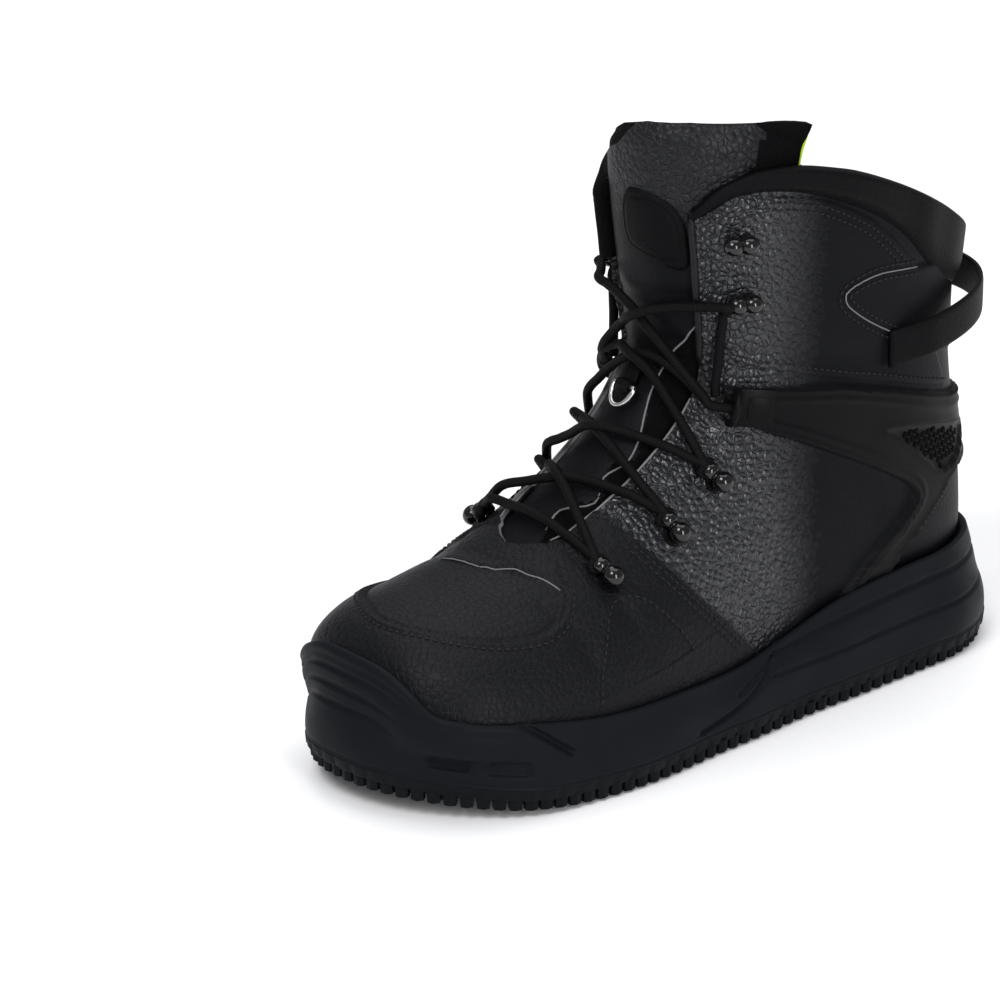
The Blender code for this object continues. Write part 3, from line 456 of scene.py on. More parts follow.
def grid_mesh(name, points, materials, closed=False, keep=None, index=None, attributes=None):
    """A mesh over a grid of points in metres. keep is a mask of the faces that stay."""
    faces = grid_faces(points, closed)
    slots = np.zeros(faces.shape[:2], dtype=int) if index is None else index
    if keep is not None:
        faces, slots = faces[keep], slots[keep]
    faces = faces.reshape(-1, 4)
    mesh = bpy.data.meshes.new(name)
    mesh.from_pydata(points.reshape(-1, 3).tolist(), [], faces.tolist())
    for material in materials:
        mesh.materials.append(material)
    mesh.polygons.foreach_set("material_index", np.ravel(slots))
    for key, values in (attributes or {}).items():
        layer = mesh.attributes.new(key, "FLOAT", "POINT")
        layer.data.foreach_set("value", np.ravel(values).astype(np.float32))
    bm = bmesh.new()
    bm.from_mesh(mesh)
    bmesh.ops.delete(bm, geom=[v for v in bm.verts if not v.link_faces], context="VERTS")
    bmesh.ops.remove_doubles(bm, verts=bm.verts, dist=2e-6)
    bmesh.ops.recalc_face_normals(bm, faces=bm.faces)
    bm.to_mesh(mesh)
    bm.free()
    mesh.shade_smooth()
    return mesh


def add_piece(name, mesh, slot, *nodes, body="boot"):
    """Links a finished mesh as a piece that rides on a body and stands for its CAD nodes."""
    obj = bpy.data.objects.new(name, mesh)
    bpy.context.scene.collection.objects.link(obj)
    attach(obj, body)
    if nodes:
        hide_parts(*nodes)
    return obj


def tube_mesh(name, paths, radius, material, sides=12):
    """Round cords along paths of points in metres, each with UV along and around it."""
    bm = bmesh.new()
    uv_layer = bm.loops.layers.uv.new("UVMap")
    for path in paths:
        points = [Vector(p) for p in path]
        run = 0.0
        rings, lengths = [], []
        normal = None
        for i, point in enumerate(points):
            ahead = points[min(i + 1, len(points) - 1)] - points[max(i - 1, 0)]
            tangent = ahead.normalized()
            if normal is None:
                normal = tangent.orthogonal().normalized()
            normal = (normal - tangent * normal.dot(tangent)).normalized()
            binormal = tangent.cross(normal)
            if i:
                run += (point - points[i - 1]).length
            lengths.append(run)
            end = min(i, len(points) - 1 - i)
            size = radius * (1.0 if end else 0.6)
            ring = []
            for k in range(sides):
                turn = 2 * math.pi * k / sides
                spoke = normal * math.cos(turn) + binormal * math.sin(turn)
                ring.append(bm.verts.new(point + spoke * size))
            rings.append(ring)
        for i in range(len(rings) - 1):
            for k in range(sides):
                j = (k + 1) % sides
                face = bm.faces.new((rings[i][k], rings[i][j], rings[i + 1][j], rings[i + 1][k]))
                corners = ((lengths[i], k), (lengths[i], k + 1), (lengths[i + 1], k + 1), (lengths[i + 1], k))
                for loop, (u, v) in zip(face.loops, corners):
                    loop[uv_layer].uv = (u / MM, v / sides)
        bm.faces.new(rings[0])
        bm.faces.new(rings[-1])
    bmesh.ops.recalc_face_normals(bm, faces=bm.faces)
    mesh = mesh_from(name, bm, material)
    mesh.shade_smooth()
    return mesh


def solid_mesh(name, bm, material, angle=35.0):
    """A smooth-shaded mesh with sharp edges above an angle."""
    bmesh.ops.recalc_face_normals(bm, faces=bm.faces)
    mesh = mesh_from(name, bm, material)
    mesh.shade_smooth()
    mesh.set_sharp_from_angle(angle=math.radians(angle))
    return mesh


def add_ball(bm, centre, radius, scale=(1, 1, 1), turn=None, segments=28):
    made = bmesh.ops.create_uvsphere(bm, u_segments=segments, v_segments=segments // 2, radius=radius)
    turn = Matrix.Identity(3) if turn is None else turn
    for vert in made["verts"]:
        local = Vector((vert.co.x * scale[0], vert.co.y * scale[1], vert.co.z * scale[2]))
        vert.co = turn @ local + centre


def add_rod(bm, start, end, radius, segments=24, radius_end=None):
    axis = end - start
    made = bmesh.ops.create_cone(bm, cap_ends=True, segments=segments, radius1=radius,
                                 radius2=radius if radius_end is None else radius_end, depth=axis.length)
    turn = axis.to_track_quat("Z", "Y").to_matrix().to_4x4()
    bmesh.ops.transform(bm, matrix=Matrix.Translation((start + end) / 2) @ turn, verts=made["verts"])


# The last as a target for rays

class Shape:
    """Ray targets in the part's own metres, filled by the operators as they build."""

    last = None
    upper = None
    tongue = None


def tree_from_grid(points, closed=False):
    faces = grid_faces(points, closed).reshape(-1, 4)
    return BVHTree.FromPolygons([tuple(p) for p in points.reshape(-1, 3)], [tuple(f) for f in faces])


def last_grid():
    """The whole last as a grid, closed at the toe by a row of points at its tip."""
    index = np.linspace(0, len(LAST) - 1, 190)[:, None]
    angle = np.linspace(0, 2 * np.pi, 140, endpoint=False)[None, :]
    points = last_points(index, angle)
    tip = np.broadcast_to(points[0].mean(axis=0) + TOE_TIP, points[:1].shape)
    return np.concatenate((tip, points))


def build_last_tree():
    Shape.last = tree_from_grid(place(last_grid()), closed=True)


def cast(tree, origin, direction):
    """Where a ray meets a tree, and the normal there turned against the ray."""
    hit, normal, _, _ = tree.ray_cast(Vector(origin), Vector(direction))
    if hit is None:
        return None, None
    return hit, normal if normal.dot(Vector(direction)) < 0 else -normal


def side_point(tree, x, z, side):
    """Where the lateral (1) or medial (-1) side stands at a point of the side view."""
    start = place(np.array((x, 95.0 * side, z)))
    return cast(tree, start, (0, -side, 0))


def beside_instep(tree, top_z, y):
    """A point beside the instep line, y from the ridge, and the outward normal."""
    row = rows_at(LAST, index_at_height(top_z))
    rise = np.array((row[0] - row[2], 0.0, row[1] - row[3]))
    rise /= np.linalg.norm(rise)
    start = np.array((row[0], y + row[7], row[1])) + rise * 40
    return cast(tree, place(start), -rise)


# Materials

def add_node(tree, kind, values=None, **settings):
    """A new node with its settings, and with constants on its own sockets."""
    made = tree.nodes.new(kind)
    for key, value in settings.items():
        setattr(made, key, value)
    for key, value in (values or {}).items():
        made.inputs[key].default_value = value
    return made


def join(tree, *wires):
    """Links nodes, each wire as the node it leaves, the output, the node it enters and the input."""
    for source, output, target, entry in wires:
        tree.links.new(source.outputs[output], target.inputs[entry])


def grain_group():
    """Shader group: leather pebbles and fine grain as one bump, with the pebbles weighted by a mask."""
    group = bpy.data.node_groups.new("Leather grain", "ShaderNodeTree")
    for name, default in (("Pebble size", 2.2), ("Pebbles", 1.0), ("Fine grain", 0.3)):
        socket = group.interface.new_socket(name=name, in_out="INPUT", socket_type="NodeSocketFloat")
        socket.default_value = default
    group.interface.new_socket(name="Normal", in_out="OUTPUT", socket_type="NodeSocketVector")
    inputs, outputs = add_node(group, "NodeGroupInput"), add_node(group, "NodeGroupOutput")
    coords = add_node(group, "ShaderNodeTexCoord")
    warp = add_node(group, "ShaderNodeTexNoise", {"Scale": 260.0, "Detail": 2.0})
    mix = add_node(group, "ShaderNodeMix", {"Factor": 0.0010}, data_type="VECTOR")
    scale = add_node(group, "ShaderNodeMath", {0: 1000.0}, operation="DIVIDE")
    cells = add_node(group, "ShaderNodeTexVoronoi", feature="SMOOTH_F1")
    cells.inputs["Smoothness"].default_value = 0.12
    dome = add_node(group, "ShaderNodeMapRange", {"From Max": 0.72, "To Min": 1.0, "To Max": 0.0},
                    interpolation_type="SMOOTHSTEP")
    edges = add_node(group, "ShaderNodeTexVoronoi", feature="DISTANCE_TO_EDGE")
    valley = add_node(group, "ShaderNodeMapRange", {"From Max": 0.13, "To Max": 0.8},
                      interpolation_type="SMOOTHSTEP")
    both = add_node(group, "ShaderNodeMath", operation="ADD")
    fine = add_node(group, "ShaderNodeTexNoise", {"Scale": 1500.0, "Detail": 3.0})
    weigh = add_node(group, "ShaderNodeMath", operation="MULTIPLY")
    weigh_fine = add_node(group, "ShaderNodeMath", operation="MULTIPLY")
    total = add_node(group, "ShaderNodeMath", operation="ADD")
    bump = add_node(group, "ShaderNodeBump", {"Strength": 1.0, "Distance": 0.0006})
    join(
        group,
        (coords, "Object", warp, "Vector"), (coords, "Object", mix, 4), (warp, "Color", mix, 5),
        (inputs, "Pebble size", scale, 1),
        (mix, 1, cells, "Vector"), (scale, 0, cells, "Scale"), (cells, "Distance", dome, "Value"),
        (mix, 1, edges, "Vector"), (scale, 0, edges, "Scale"), (edges, "Distance", valley, "Value"),
        (dome, "Result", both, 0), (valley, "Result", both, 1),
        (both, 0, weigh, 0), (inputs, "Pebbles", weigh, 1),
        (coords, "Object", fine, "Vector"),
        (fine, "Fac", weigh_fine, 0), (inputs, "Fine grain", weigh_fine, 1),
        (weigh, 0, total, 0), (weigh_fine, 0, total, 1),
        (total, 0, bump, "Height"), (bump, "Normal", outputs, "Normal"),
    )
    return group


def plain_material(name, tint, roughness, metallic=0.0, specular=0.06):
    material = bpy.data.materials.new(name)
    material.use_nodes = True
    values = {"Base Color": (*tint, 1.0), "Roughness": roughness, "Metallic": metallic,
              "Specular IOR Level": specular}
    for key, value in values.items():
        material.node_tree.nodes["Principled BSDF"].inputs[key].default_value = value
    return material


def grained_material(name, tint, roughness, pebbles, fine, size, attribute=None, **more):
    """A leather: the grain group bumps it, and a point attribute can weigh its pebbles and its gloss and
    paint a sheen into its base colour where it is high and shade where it is low.
    """
    material = plain_material(name, tint, roughness, **more)
    tree = material.node_tree
    shader = tree.nodes["Principled BSDF"]
    group = bpy.data.node_groups.get("Leather grain") or grain_group()
    grain = add_node(tree, "ShaderNodeGroup", node_tree=group)
    for key, value in (("Pebble size", size), ("Pebbles", pebbles), ("Fine grain", fine)):
        grain.inputs[key].default_value = value
    join(tree, (grain, "Normal", shader, "Normal"))
    if attribute:
        mask = add_node(tree, "ShaderNodeAttribute", attribute_name=attribute)
        dull = add_node(tree, "ShaderNodeMapRange", {"To Min": roughness + 0.16, "To Max": roughness})
        # Painted sheen and shade: the mask makes the base colour 1.9 times the tint where it is high, on the
        # pebbled front, and 0.6 times where it is low, at the smooth rear
        shade = add_node(tree, "ShaderNodeMix", data_type="RGBA")
        for socket, factor in ((6, 0.6), (7, 1.9)):
            shade.inputs[socket].default_value = (*[value * factor for value in tint], 1.0)
        join(
            tree,
            (mask, "Fac", grain, "Pebbles"),
            (mask, "Fac", dull, "Value"), (dull, "Result", shader, "Roughness"),
            (mask, "Fac", shade, "Factor"), (shade, 2, shader, "Base Color"),
        )
    return material


def rubber_material(name, tint, roughness, grain):
    """Moulded rubber: a fine even grain and a slow change of gloss from handling."""
    material = plain_material(name, tint, roughness)
    tree = material.node_tree
    shader = tree.nodes["Principled BSDF"]
    coords = add_node(tree, "ShaderNodeTexCoord")
    fine = add_node(tree, "ShaderNodeTexNoise", {"Scale": 1800.0, "Detail": 2.0})
    slow = add_node(tree, "ShaderNodeTexNoise", {"Scale": 45.0, "Detail": 4.0})
    gloss = add_node(tree, "ShaderNodeMapRange", {"From Min": 0.3, "From Max": 0.7,
                                                  "To Min": roughness - 0.08, "To Max": roughness + 0.10})
    bump = add_node(tree, "ShaderNodeBump", {"Strength": grain, "Distance": 0.0003})
    join(
        tree,
        (coords, "Object", fine, "Vector"), (coords, "Object", slow, "Vector"),
        (slow, "Fac", gloss, "Value"), (gloss, "Result", shader, "Roughness"),
        (fine, "Fac", bump, "Height"), (bump, "Normal", shader, "Normal"),
    )
    return material


def lace_material(tint):
    """Woven round lace: slanted ribs from its UV, along and around."""
    material = plain_material("lace_weave", tint, 0.6)
    tree = material.node_tree
    uv = add_node(tree, "ShaderNodeUVMap")
    split = add_node(tree, "ShaderNodeSeparateXYZ")
    around = add_node(tree, "ShaderNodeMath", {1: 6.2832}, operation="MULTIPLY_ADD")
    along = add_node(tree, "ShaderNodeMath", {1: 6.5}, operation="MULTIPLY")
    wave = add_node(tree, "ShaderNodeMath", operation="SINE")
    bump = add_node(tree, "ShaderNodeBump", {"Strength": 0.5, "Distance": 0.0002})
    join(
        tree,
        (uv, "UV", split, 0), (split, "X", along, 0), (split, "Y", around, 0), (along, 0, around, 2),
        (around, 0, wave, 0), (wave, 0, bump, "Height"),
        (bump, "Normal", tree.nodes["Principled BSDF"], "Normal"),
    )
    return material


def leather_slots(finish):
    """The same leather with more and more gloss, from the smooth rear to the pebbled front."""
    return tuple(finish[f"leather_{number}"] for number in range(len(GLOSS)))


def gloss_slot(pebble):
    """Slot of each face from the pebble mask, with a fixed unevenness that hides the steps."""
    rows, columns = np.indices(pebble.shape)
    uneven = np.modf(np.abs(np.sin(rows * 12.9898 + columns * 78.233)) * 437.5453)[0] - 0.5
    return np.clip((pebble * len(GLOSS) + uneven * 0.9).astype(int), 0, len(GLOSS) - 1)


def materials():
    """The boot's finishes, made once."""
    if "leather_0" not in bpy.data.materials:
        c = bpy.context.scene.boot_colours
        size = bpy.context.scene.boot_sizes.pebble_size
        # Their pebble attribute also paints sheen and shade into the base colour
        for number, specular in enumerate(GLOSS):
            grained_material(f"leather_{number}", c.leather, 0.30, 1.0, 0.14, size, "pebble",
                             specular=specular)
        grained_material("band_leather", c.smooth, 0.50, 0.10, 0.35, 1.2)
        rubber_material("moulded_frame", c.moulded, 0.42, 0.15)
        rubber_material("sole_rubber", c.rubber, 0.55, 0.3)
        rubber_material("midsole_foam", c.midsole, 0.50, 0.2)
        grained_material("textile", c.textile, 0.85, 0.25, 0.8, 0.9)
        plain_material("thread", c.thread, 0.55)
        plain_material("lit_cut_edge", c.lit_cut_edge, 0.6)
        plain_material("black_hardware", c.hardware, 0.07, specular=0.45)
        plain_material("bright_metal", (0.55, 0.55, 0.54), 0.25, metallic=1.0, specular=0.5)
        plain_material("lime_piping", c.piping, 0.5)
        lace_material(c.lace)
    return bpy.data.materials


# Upper

def throat_half(top_z):
    """Half the width of the throat at a height on the instep line."""
    return np.interp(top_z, *np.array(THROAT).T)


def throat_angles(index):
    half = throat_half(rows_at(LAST, index)[..., 1])
    return angle_beside_ridge(index, half), angle_beside_ridge(index, -half)


def bisect(low, high, below):
    """Where each column stops being below a limit, found by halving between two indices."""
    for _ in range(34):
        middle = (low + high) / 2
        under = below(middle)
        low, high = np.where(under, middle, low), np.where(under, high, middle)
    return low


def wrapped_angle(index, w):
    """Angle at share w of the way from the lateral throat edge, under the sole, to the medial edge."""
    lateral, medial = throat_angles(index)
    return lateral + w * (medial - 2 * np.pi - lateral)


def index_on_line(w, line, low=12.5, high=18.9):
    """Index along each column where the last meets a line of the side view."""
    w = np.asarray(w, float)

    def below(index):
        points = last_points(index, wrapped_angle(index, w))
        return points[..., 2] < curve_at(line, points[..., 0])

    return bisect(np.full(w.shape, low), np.full(w.shape, high), below)


def collar_index(w):
    """Index of the collar's edge along each column; it stands a little lower on the medial side."""
    return index_on_line(w, COLLAR_LINE) - 0.20 * step(w, 0.56, 0.72)


def plug_outline():
    """The toe plug's closed outline in plan, both halves."""
    lateral = [(x, y) for x, y in smooth_points(PLUG, 4)]
    return lateral + [(x, 2 * PLUG_RIDGE - y) for x, y in reversed(lateral)]


def upper_relief(points, sizes):
    """Height of the panels over the last, the pebble mask, which also paints sheen and shade into the base
    colour, and the depth inside the heel frame.
    """
    x, y, z = points[..., 0], points[..., 1], points[..., 2]
    height = np.zeros(x.shape)
    pebble = np.ones(x.shape)
    seam = list(smooth_points(VAMP_SEAM)) + [(420.0, 22.0), (420.0, 130.0), (236.0, 130.0)]
    guard = panel_depth(x, z, seam)
    plug = panel_depth(x, y, plug_outline())
    on_top = step(z, 50.0, 56.0)
    plug = np.where(on_top > 0, plug, -60.0)
    outside_plug = step(-plug, -0.4, 0.6)
    height += sizes.panel_step * step(guard, -0.5, 0.5) * outside_plug
    height += RAISED["plug_bead"] * ridge(plug + 1.4, 1.5) * on_top
    height -= RAISED["plug_groove"] * ridge(plug - 0.6, 1.0) * on_top
    flap = np.where(on_top > 0, panel_depth(x, y, FLAP), -60.0)
    height += RAISED["flap"] * step(flap, -0.35, 0.45) * step(plug, -1.0, 1.0)
    pebble -= SMOOTHED["guard"] * step(guard, -1.0, 1.0)
    # Partly real, partly painted shade: the grain is smoother towards the rear, and the same fade darkens the
    # base colour there
    low_rear = step(140.0 - x, 0.0, 36.0) * step(136.0 - z, -4.0, 6.0)
    pebble -= SMOOTHED["rear"] * np.maximum(low_rear, step(150.0 - x, 0.0, 34.0))
    arch = line_distance(x, z, smooth_points(ARCH_SEAM))
    height += RAISED["arch"] * ridge(arch, 2.4) * (y > 0)
    cuff = panel_depth(x, z, CUFF)
    height += RAISED["cuff"] * step(cuff, -0.5, 0.6)
    vee = panel_depth(x, z, smooth_points(VEE, 3))
    height += RAISED["vee"] * step(vee, -0.5, 0.7)
    pebble -= SMOOTHED["vee"] * step(vee, -0.5, 0.5)
    low_line, rear_line = smooth_points(FRAME_LOW, 4), smooth_points(FRAME_REAR, 4)
    shell = panel_depth(x, z, list(FRAME_TOP[::-1]) + list(low_line) + list(rear_line))
    top = line_distance(x, z, FRAME_TOP)
    low = line_distance(x, z, low_line)
    rear = line_distance(x, z, rear_line)
    inside = step(shell, -0.6, 1.0)
    height += sizes.frame_step * inside
    height += 0.9 * ridge(top - 1.6, 1.5) * (shell > -0.5) + 0.8 * ridge(top - 5.2, 1.5) * inside
    height += 0.8 * ridge(low - 1.3, 1.3) * (shell > -0.5) + 0.7 * ridge(low - 4.6, 1.3) * inside
    height += 0.7 * ridge(rear - 1.3, 1.3) * (shell > -0.5)
    window = panel_depth(x, z, smooth_points(MESH_WINDOW + MESH_WINDOW[:1], 3)[:-1])
    height -= RAISED["window"] * step(window, -0.6, 0.8)
    height += RAISED["window_rim"] * ridge(np.abs(window) - 0.6, 1.2)
    pebble -= step(shell, -0.6, 0.6)
    # Painted shade in part: the lower rear loses pebbles and so gets a darker base colour
    lower_rear = step(110.0 - x, 0.0, 40.0) * step(78.0 - z, 0.0, 20.0)
    pebble -= SMOOTHED["lower_rear"] * lower_rear
    beside_guard = np.minimum(np.abs(guard), 60.0) - 7.0
    height += RAISED["guard_line"] * ridge(beside_guard, 0.8) * step(-guard, 0.0, 1.0)
    for crease, depth, width in CREASES:
        height -= depth * np.exp(-(line_distance(x, z, smooth_points(crease)) / width) ** 2)
    return height, np.clip(pebble, SMOOTHED["least"], 1.0), shell


class BOOT_OT_upper(bpy.types.Operator):
    """Builds the upper's skin with its panels, the throat's edges, the lining and the drain eyelets"""

    bl_idname = "boot.upper"
    bl_label = "Upper"

    def execute(self, context):
        finish = materials()
        w = np.linspace(0, 1, 300)
        end = collar_index(w)
        index = np.linspace(0, 1, 270)[:, None] * end[None, :]
        points = last_points(index, wrapped_angle(index, w[None, :]))
        points[0] = points[0].mean(axis=0) + TOE_TIP
        normals = grid_normals(points)
        normals[0] = (1.0, 0.0, 0.0)
        shut = throat_angles(index[:, :1])[0] > np.pi / 2 - 1e-3
        middle = np.where(shut[..., None], normals[:, :1] + normals[:, -1:], 0.0)
        middle /= np.maximum(np.linalg.norm(middle, axis=-1, keepdims=True), 1e-9)
        normals[:, :1] = np.where(shut[..., None], middle, normals[:, :1])
        normals[:, -1:] = np.where(shut[..., None], middle, normals[:, -1:])
        height, pebble, shell = upper_relief(points, context.scene.boot_sizes)
        skin = points + normals * height[..., None]
        slit = throat_half(rows_at(LAST, index[:, :1])[..., 1])
        turned = step(slit, 0.2, 2.0)[..., None]
        edge = [skin[:, :1] - normals[:, :1] * d * turned for d in (WALL + 0.6, 1.7, 0.1)]
        other = [skin[:, -1:] - normals[:, -1:] * d * turned for d in (0.1, 1.7, WALL + 0.6)]
        full = np.concatenate(edge + [skin] + other, axis=1)
        pad, shell = (np.pad(values, ((0, 0), (3, 3)), mode="edge") for values in (pebble, shell))
        centre = (full[:-1, :-1] + full[1:, 1:]) / 2
        keep = centre[..., 2] > SKIN_LOW
        slot = np.where(shell[:-1, :-1] > 0, len(GLOSS), gloss_slot(pad[:-1, :-1]))
        # Painted highlight: the throat's cut edges below CUT_EDGE_TOP take the pale lit edge finish
        cut = (slit[:-1] > 0.5) & (full[:-1, :1, 2] < CUT_EDGE_TOP)
        slot[:, 1:2] = np.where(cut, len(GLOSS) + 1, slot[:, 1:2])
        slot[:, -2:-1] = np.where(cut, len(GLOSS) + 1, slot[:, -2:-1])
        slots = leather_slots(finish) + (finish["moulded_frame"], finish["lit_cut_edge"])
        # The pebble mask goes on as an attribute that also paints sheen and shade into the base colour
        mesh = grid_mesh("upper_skin", place(full), slots, keep=keep, index=slot, attributes={"pebble": pad})
        add_piece("upper_skin", mesh, "leather", "upper", "mudguard", "heel_frame")
        Shape.upper = BVHTree.FromPolygons([tuple(v.co) for v in mesh.vertices],
                                           [tuple(p.vertices) for p in mesh.polygons])
        self.window_pits(finish)
        for name, column, low, high, lift, radius, material in THROAT_EDGES:
            path = skin[:, column] + normals[:, column] * lift
            path = path[(path[:, 2] > low) & (path[:, 2] < high)][::5]
            if name == "padded_edge":
                back = np.linspace(0.975, 0.88, 8)
                over = last_points(collar_index(back), wrapped_angle(collar_index(back), back))
                path = smooth_points(np.concatenate((path[:-1], over + np.array(PADDED_LIFT))), 4)
            add_piece(name, tube_mesh(name, [place(path)], radius * MM, finish[material], 14), "leather")
        coarse = np.linspace(0.02, 1, 70)[:, None] * end[None, ::4]
        inner = last_points(coarse, wrapped_angle(coarse, w[None, ::4]))
        inner = inner - grid_normals(inner) * (WALL + 0.2)
        keep = ((inner[:-1, :-1] + inner[1:, 1:]) / 2)[..., 2] > LINING_LOW
        lining = grid_mesh("lining", place(inner), (finish["textile"],), keep=keep)
        add_piece("lining", lining, "fabric")
        for number, (x, z) in enumerate(DRAIN_EYELETS, 1):
            point, normal = side_point(Shape.upper, x, z, -1)
            bm = bmesh.new()
            turn = normal.to_track_quat("Z", "Y").to_matrix().to_4x4()
            profile = ((2.6, -2.0), (2.6, 1.0), (3.2, 1.6), (4.4, 1.6), (5.4, 0.9), (5.6, -0.4))
            rings = []
            for radius, lift in profile:
                ring = []
                for k in range(36):
                    a = 2 * math.pi * k / 36
                    spot = (radius * MM * math.cos(a), radius * MM * math.sin(a), lift * MM)
                    ring.append(bm.verts.new(spot))
                rings.append(ring)
            for low, high in zip(rings, rings[1:]):
                for k in range(36):
                    bm.faces.new((low[k], low[(k + 1) % 36], high[(k + 1) % 36], high[k]))
            bmesh.ops.transform(bm, matrix=Matrix.Translation(point) @ turn, verts=bm.verts)
            add_piece(f"eyelet_{number}", solid_mesh(f"eyelet_{number}", bm, finish["bright_metal"]), "steel",
                      f"drain_eyelet_{number}")
            bm = bmesh.new()
            add_rod(bm, point - normal * 2.2 * MM, point + normal * 0.25 * MM, 2.65 * MM, 28)
            hole = f"eyelet_hole_{number}"
            add_piece(hole, solid_mesh(hole, bm, finish["textile"]), "fabric")
        return {"FINISHED"}

    def window_pits(self, finish):
        """Rows of six-sided pits in the frame's window."""
        bm = bmesh.new()
        bmesh.ops.create_cone(bm, cap_ends=True, segments=6, radius1=1.25 * MM, radius2=1.45 * MM,
                              depth=0.5 * MM)
        block = mesh_from("pit", bm)
        spots, turns = [], []
        for side in (1, -1):
            for row in range(PITS["rows"]):
                for column in range(PITS["columns"]):
                    x = PITS["x"] + PITS["pitch_x"] * (column + 0.5 * (row % 2))
                    z = PITS["z"] + PITS["pitch_z"] * row
                    if panel_depth(np.array(x), np.array(z), MESH_WINDOW) < PITS["margin"]:
                        continue
                    hit, normal = side_point(Shape.upper, x, z, side)
                    spots.append(tuple(hit + normal * 0.1 * MM))
                    turns.append(tuple(normal.to_track_quat("Z", "X").to_euler()))
        mesh = scatter("window_pits", spots, turns, block, finish["textile"])
        add_piece("window_pits", mesh, "moulded")


class BOOT_OT_collar(bpy.types.Operator):
    """Builds the padded collar that rolls over the upper's edge, and the pull loop behind it"""

    bl_idname = "boot.collar"
    bl_label = "Collar and pull loop"

    def execute(self, context):
        finish = materials()
        w = np.linspace(0, 1, 420)
        top = collar_index(w)
        low = np.minimum(index_on_line(w, PAD_EDGE), top - 0.15)
        rows = []
        for q in np.linspace(0, 1, 22):
            rows.append((q, 0.1 + COLLAR["bulge"] * math.sin(math.pi / 2 * min(1, q * 2.0)) ** 0.8, 0.0))
        for q in np.linspace(0.06, 1, 16):
            roll = 0.6 + COLLAR["roll"] * math.cos(math.pi * q)
            rows.append((1.0, roll, COLLAR["over"] * math.sin(math.pi * q)))
        for q in np.linspace(0.05, 1, 16):
            inside = COLLAR["inside"] * math.sin(math.pi * min(1, q * 1.02)) ** 0.7
            rows.append((1.0 - 1.3 * q, -3.0 - inside, 0.0))
        share = np.array([r[0] for r in rows])[:, None]
        out = np.array([r[1] for r in rows])[:, None, None]
        up = np.array([r[2] for r in rows])[:, None, None]
        index = low[None, :] + (top - low)[None, :] * share
        points = last_points(index, wrapped_angle(index, w[None, :]))
        rim = last_points(top, wrapped_angle(top, w))
        below = last_points(top - 0.25, wrapped_angle(top - 0.25, w))
        normals = grid_normals(np.stack((below, rim, 2 * rim - below)))[1]
        rise = rim - below
        rise /= np.linalg.norm(rise, axis=-1, keepdims=True)
        band = np.linalg.norm(rim - last_points(low, wrapped_angle(low, w)), axis=-1)
        full = np.clip(band / COLLAR["full_band"], 0.32, 1.0)[None, :, None]
        fold = COLLAR["fold"] * np.sin(w * 52.0 + 2.0 * np.sin(w * 23.0))[None, :, None]
        out = np.where(out > 0, out * full + fold * np.clip(out - 2.5, 0, 1), out)
        skin = points + normals[None] * out + rise[None] * up * full
        mesh = grid_mesh("collar", place(skin), (finish["band_leather"],))
        obj = add_piece("collar", mesh, "smooth_leather", "collar_pad")
        self.pull_loop(finish)
        return {"FINISHED"}

    def pull_loop(self, finish):
        p = PULL_LOOP
        rings = []
        for i in range(61):
            angle = math.radians(p["sweep"] * (2 * i / 60 - 1))
            bulge = max(0.0, math.cos(angle * 90 / p["sweep"]))
            z = p["z"] + p["rise"] * bulge
            outward = Vector((-math.cos(angle), math.sin(angle), 0.0))
            centre = Vector(place(np.array((66.0, 0.0, z))))
            hit, _ = cast(Shape.last, centre + outward * 0.15, -outward)
            off = 0.9 + 4.2 * min(1.0, 3 * bulge) + p["standoff"] * bulge * bulge
            middle = hit + outward * (off + p["thick"] / 2) * MM
            half = p["height"] / 2 * MM
            ring = []
            for k in range(24):
                turn = 2 * math.pi * k / 24
                c, s = math.cos(turn), math.sin(turn)
                across = math.copysign(abs(c) ** 0.5, c) * p["thick"] / 2 * MM
                along = math.copysign(abs(s) ** 0.35, s) * half
                ring.append(middle + outward * across + Vector((0, 0, along)))
            rings.append([tuple(v) for v in ring])
        mesh = grid_mesh("pull_strap", np.array(rings), (finish["band_leather"],), closed=True)
        bm = bmesh.new()
        bm.from_mesh(mesh)
        bmesh.ops.holes_fill(bm, edges=[e for e in bm.edges if e.is_boundary], sides=0)
        bm.to_mesh(mesh)
        bm.free()
        add_piece("pull_strap", mesh, "smooth_leather", "pull_loop")


